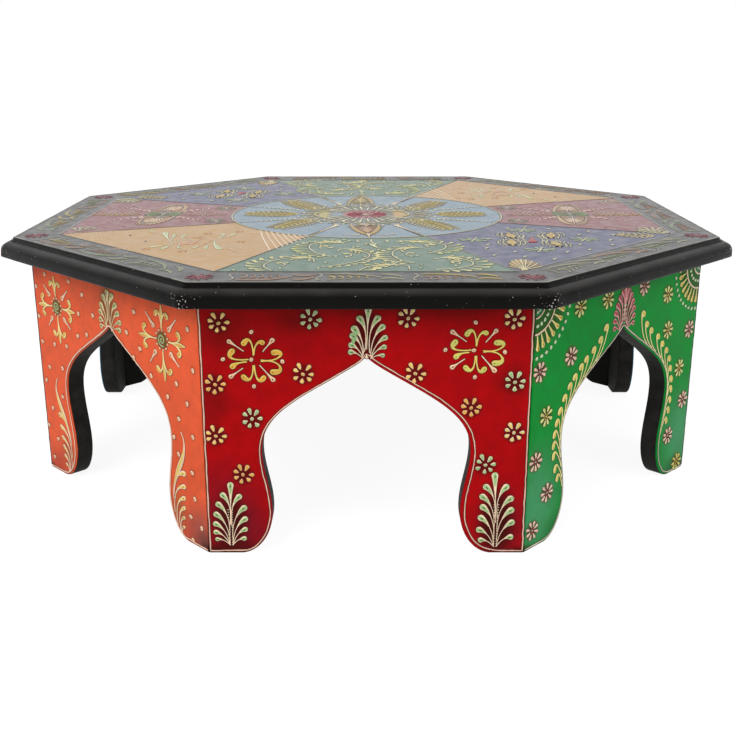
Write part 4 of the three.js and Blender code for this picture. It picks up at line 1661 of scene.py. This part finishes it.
def top_rings():
    """Rings of points from the face's middle over the rim to the middle of the underside, and how many of
    them there are up to the end of the disc, of the sectors and of the band."""
    radii = np.linspace(FIRST_RADIUS, DISC_RADIUS, int(DISC_RADIUS / TOP_STEP))
    disc = [circle_ring(radius) for radius in radii]
    inner, outer = circle_ring(DISC_RADIUS), octagon_ring(BAND_APOTHEM)
    steps = int((BAND_APOTHEM - DISC_RADIUS) / TOP_STEP)
    sectors = [inner + (outer - inner) * (i + 1) / steps for i in range(steps)]
    steps = int((FACE_APOTHEM - BAND_APOTHEM) / TOP_STEP)
    width = FACE_APOTHEM - FACE_MARGIN - BAND_APOTHEM
    band = [octagon_ring(BAND_APOTHEM + width * (i + 1) / steps) for i in range(steps)]
    rings = [np.column_stack([ring, np.full(AROUND, FACE_HEIGHT)]) for ring in (*disc, *sectors, *band)]
    rings += [np.column_stack([octagon_ring(a), np.full(AROUND, z)]) for a, z in rim_profile()]
    return rings, np.cumsum([len(disc), len(sectors), len(band)])


def wear_rim(rim):
    """Rounds the rim's corners a little and dents its edges, by moving its points inwards."""
    flat = np.linalg.norm(rim[:, :2], axis=1)
    corner = TOP_APOTHEM * CORNER_REACH
    worn = smooth_step(corner - 7, corner, flat) * smooth_step(1.5, 9, TABLE_HEIGHT - rim[:, 2] + 4)
    dents = noise(rim, 3.0) * 0.07 + noise(rim, 14.0) * 0.1
    shrink = 1 - (worn * (0.35 + 0.4 * noise(rim, 2.2)) + np.maximum(dents, 0)) / np.maximum(flat, 40)
    rim[:, :2] *= np.minimum(shrink, 1)[:, None]


def top_colours(places, parts, arts):
    """The ground colour at each place of the top, which lies in the part with that number."""
    colours = np.array([linear(c) for c in (*SECTOR_COLOURS * 2, SKY, BAND, BLACK)])[parts]
    colours *= (1 + 0.08 * (noise(places, 17) * 0.6 + noise(places, 5) * 0.4))[:, None]
    # Painted highlight on the ovolo's upper half, where the light falls, mottled a little
    aside = (np.arctan2(places[:, 0], -places[:, 1]) + SIDE_ANGLE / 2) % SIDE_ANGLE - SIDE_ANGLE / 2
    apothem = np.hypot(places[:, 0], places[:, 1]) * np.cos(aside)
    ledge = FACE_APOTHEM + RIM_LEDGE_WIDTH
    ovolo_highlight = (0.85 + 0.3 * noise(places, 9)) * (parts == RIM_PART)
    ovolo_highlight *= smooth_step(ledge, ledge + 0.5, apothem)
    ovolo_highlight *= smooth_step(OVOLO_TOP - 3, OVOLO_TOP - 0.6, places[:, 2])
    colours += (linear(OVOLO_HIGHLIGHT_GREY) - colours) * ovolo_highlight[:, None]
    for part, art in enumerate(arts):
        chosen = parts == part
        shaded = colours[chosen]
        art.apply_shades(places[chosen], shaded)
        colours[chosen] = shaded
    return colours


def make_top(arts):
    """The whole top as one body: the painted face, the moulding and the underside."""
    rings, (disc_end, sector_end, face_end) = top_rings()
    points = np.vstack([*rings, [(0, 0, FACE_HEIGHT), (0, 0, UNDER_HEIGHT)]])
    wear_rim(points[face_end * AROUND:-2])
    parts = np.full((len(rings) - 1, AROUND), RIM_PART)
    parts[:disc_end - 1] = DISC_PART
    parts[disc_end - 1:sector_end - 1] = np.arange(AROUND) // COLUMNS
    parts[sector_end - 1:face_end] = BAND_PART
    parts = parts.ravel()
    quads = ring_quads(len(rings), AROUND)[..., [0, 3, 2, 1]].reshape(-1, 4)
    j = np.arange(AROUND)
    k = (j + 1) % AROUND
    last = len(points) - 2 - AROUND
    upper = np.column_stack([np.full(AROUND, len(points) - 2), j, k])
    lower = np.column_stack([np.full(AROUND, len(points) - 1), last + k, last + j])
    corner_points = np.concatenate([quads.ravel(), upper.ravel(), lower.ravel()])
    corner_parts = np.repeat([*parts, *[DISC_PART] * AROUND, *[RIM_PART] * AROUND],
                             [4] * len(parts) + [3] * 2 * AROUND)
    colours = top_colours(points[corner_points], corner_parts, arts)
    slots = [RIM_SLOT if part == RIM_PART else FACE_SLOT for part in parts]
    slots += [FACE_SLOT] * AROUND + [RIM_SLOT] * AROUND
    faces = quads.tolist() + upper.tolist() + lower.tolist()
    top = make_piece("painted_top", points, faces, colours, slots, domain="CORNER")
    top.data.materials.append(top_paint)
    top.data.materials.append(black_paint)
    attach(top, "root")
    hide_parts(*BOARDS)


sectors, disc, band = top_arts()
make_top([*sectors, disc, band])
for side, art in zip(SIDES, sectors):
    art.make(f"top_relief_{side}", top_placer, top_relief_paint, "top_wood")
disc.make("top_relief_disc", top_placer, top_relief_paint, "top_wood")
band.make("top_relief_band", top_placer, top_relief_paint, "top_wood")

# Nails and pins
steel = steel_material()
for name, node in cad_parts.items():
    if "nail" in name or "mitre_pin" in name:
        node.data.materials.clear()
        node.data.materials.append(steel)
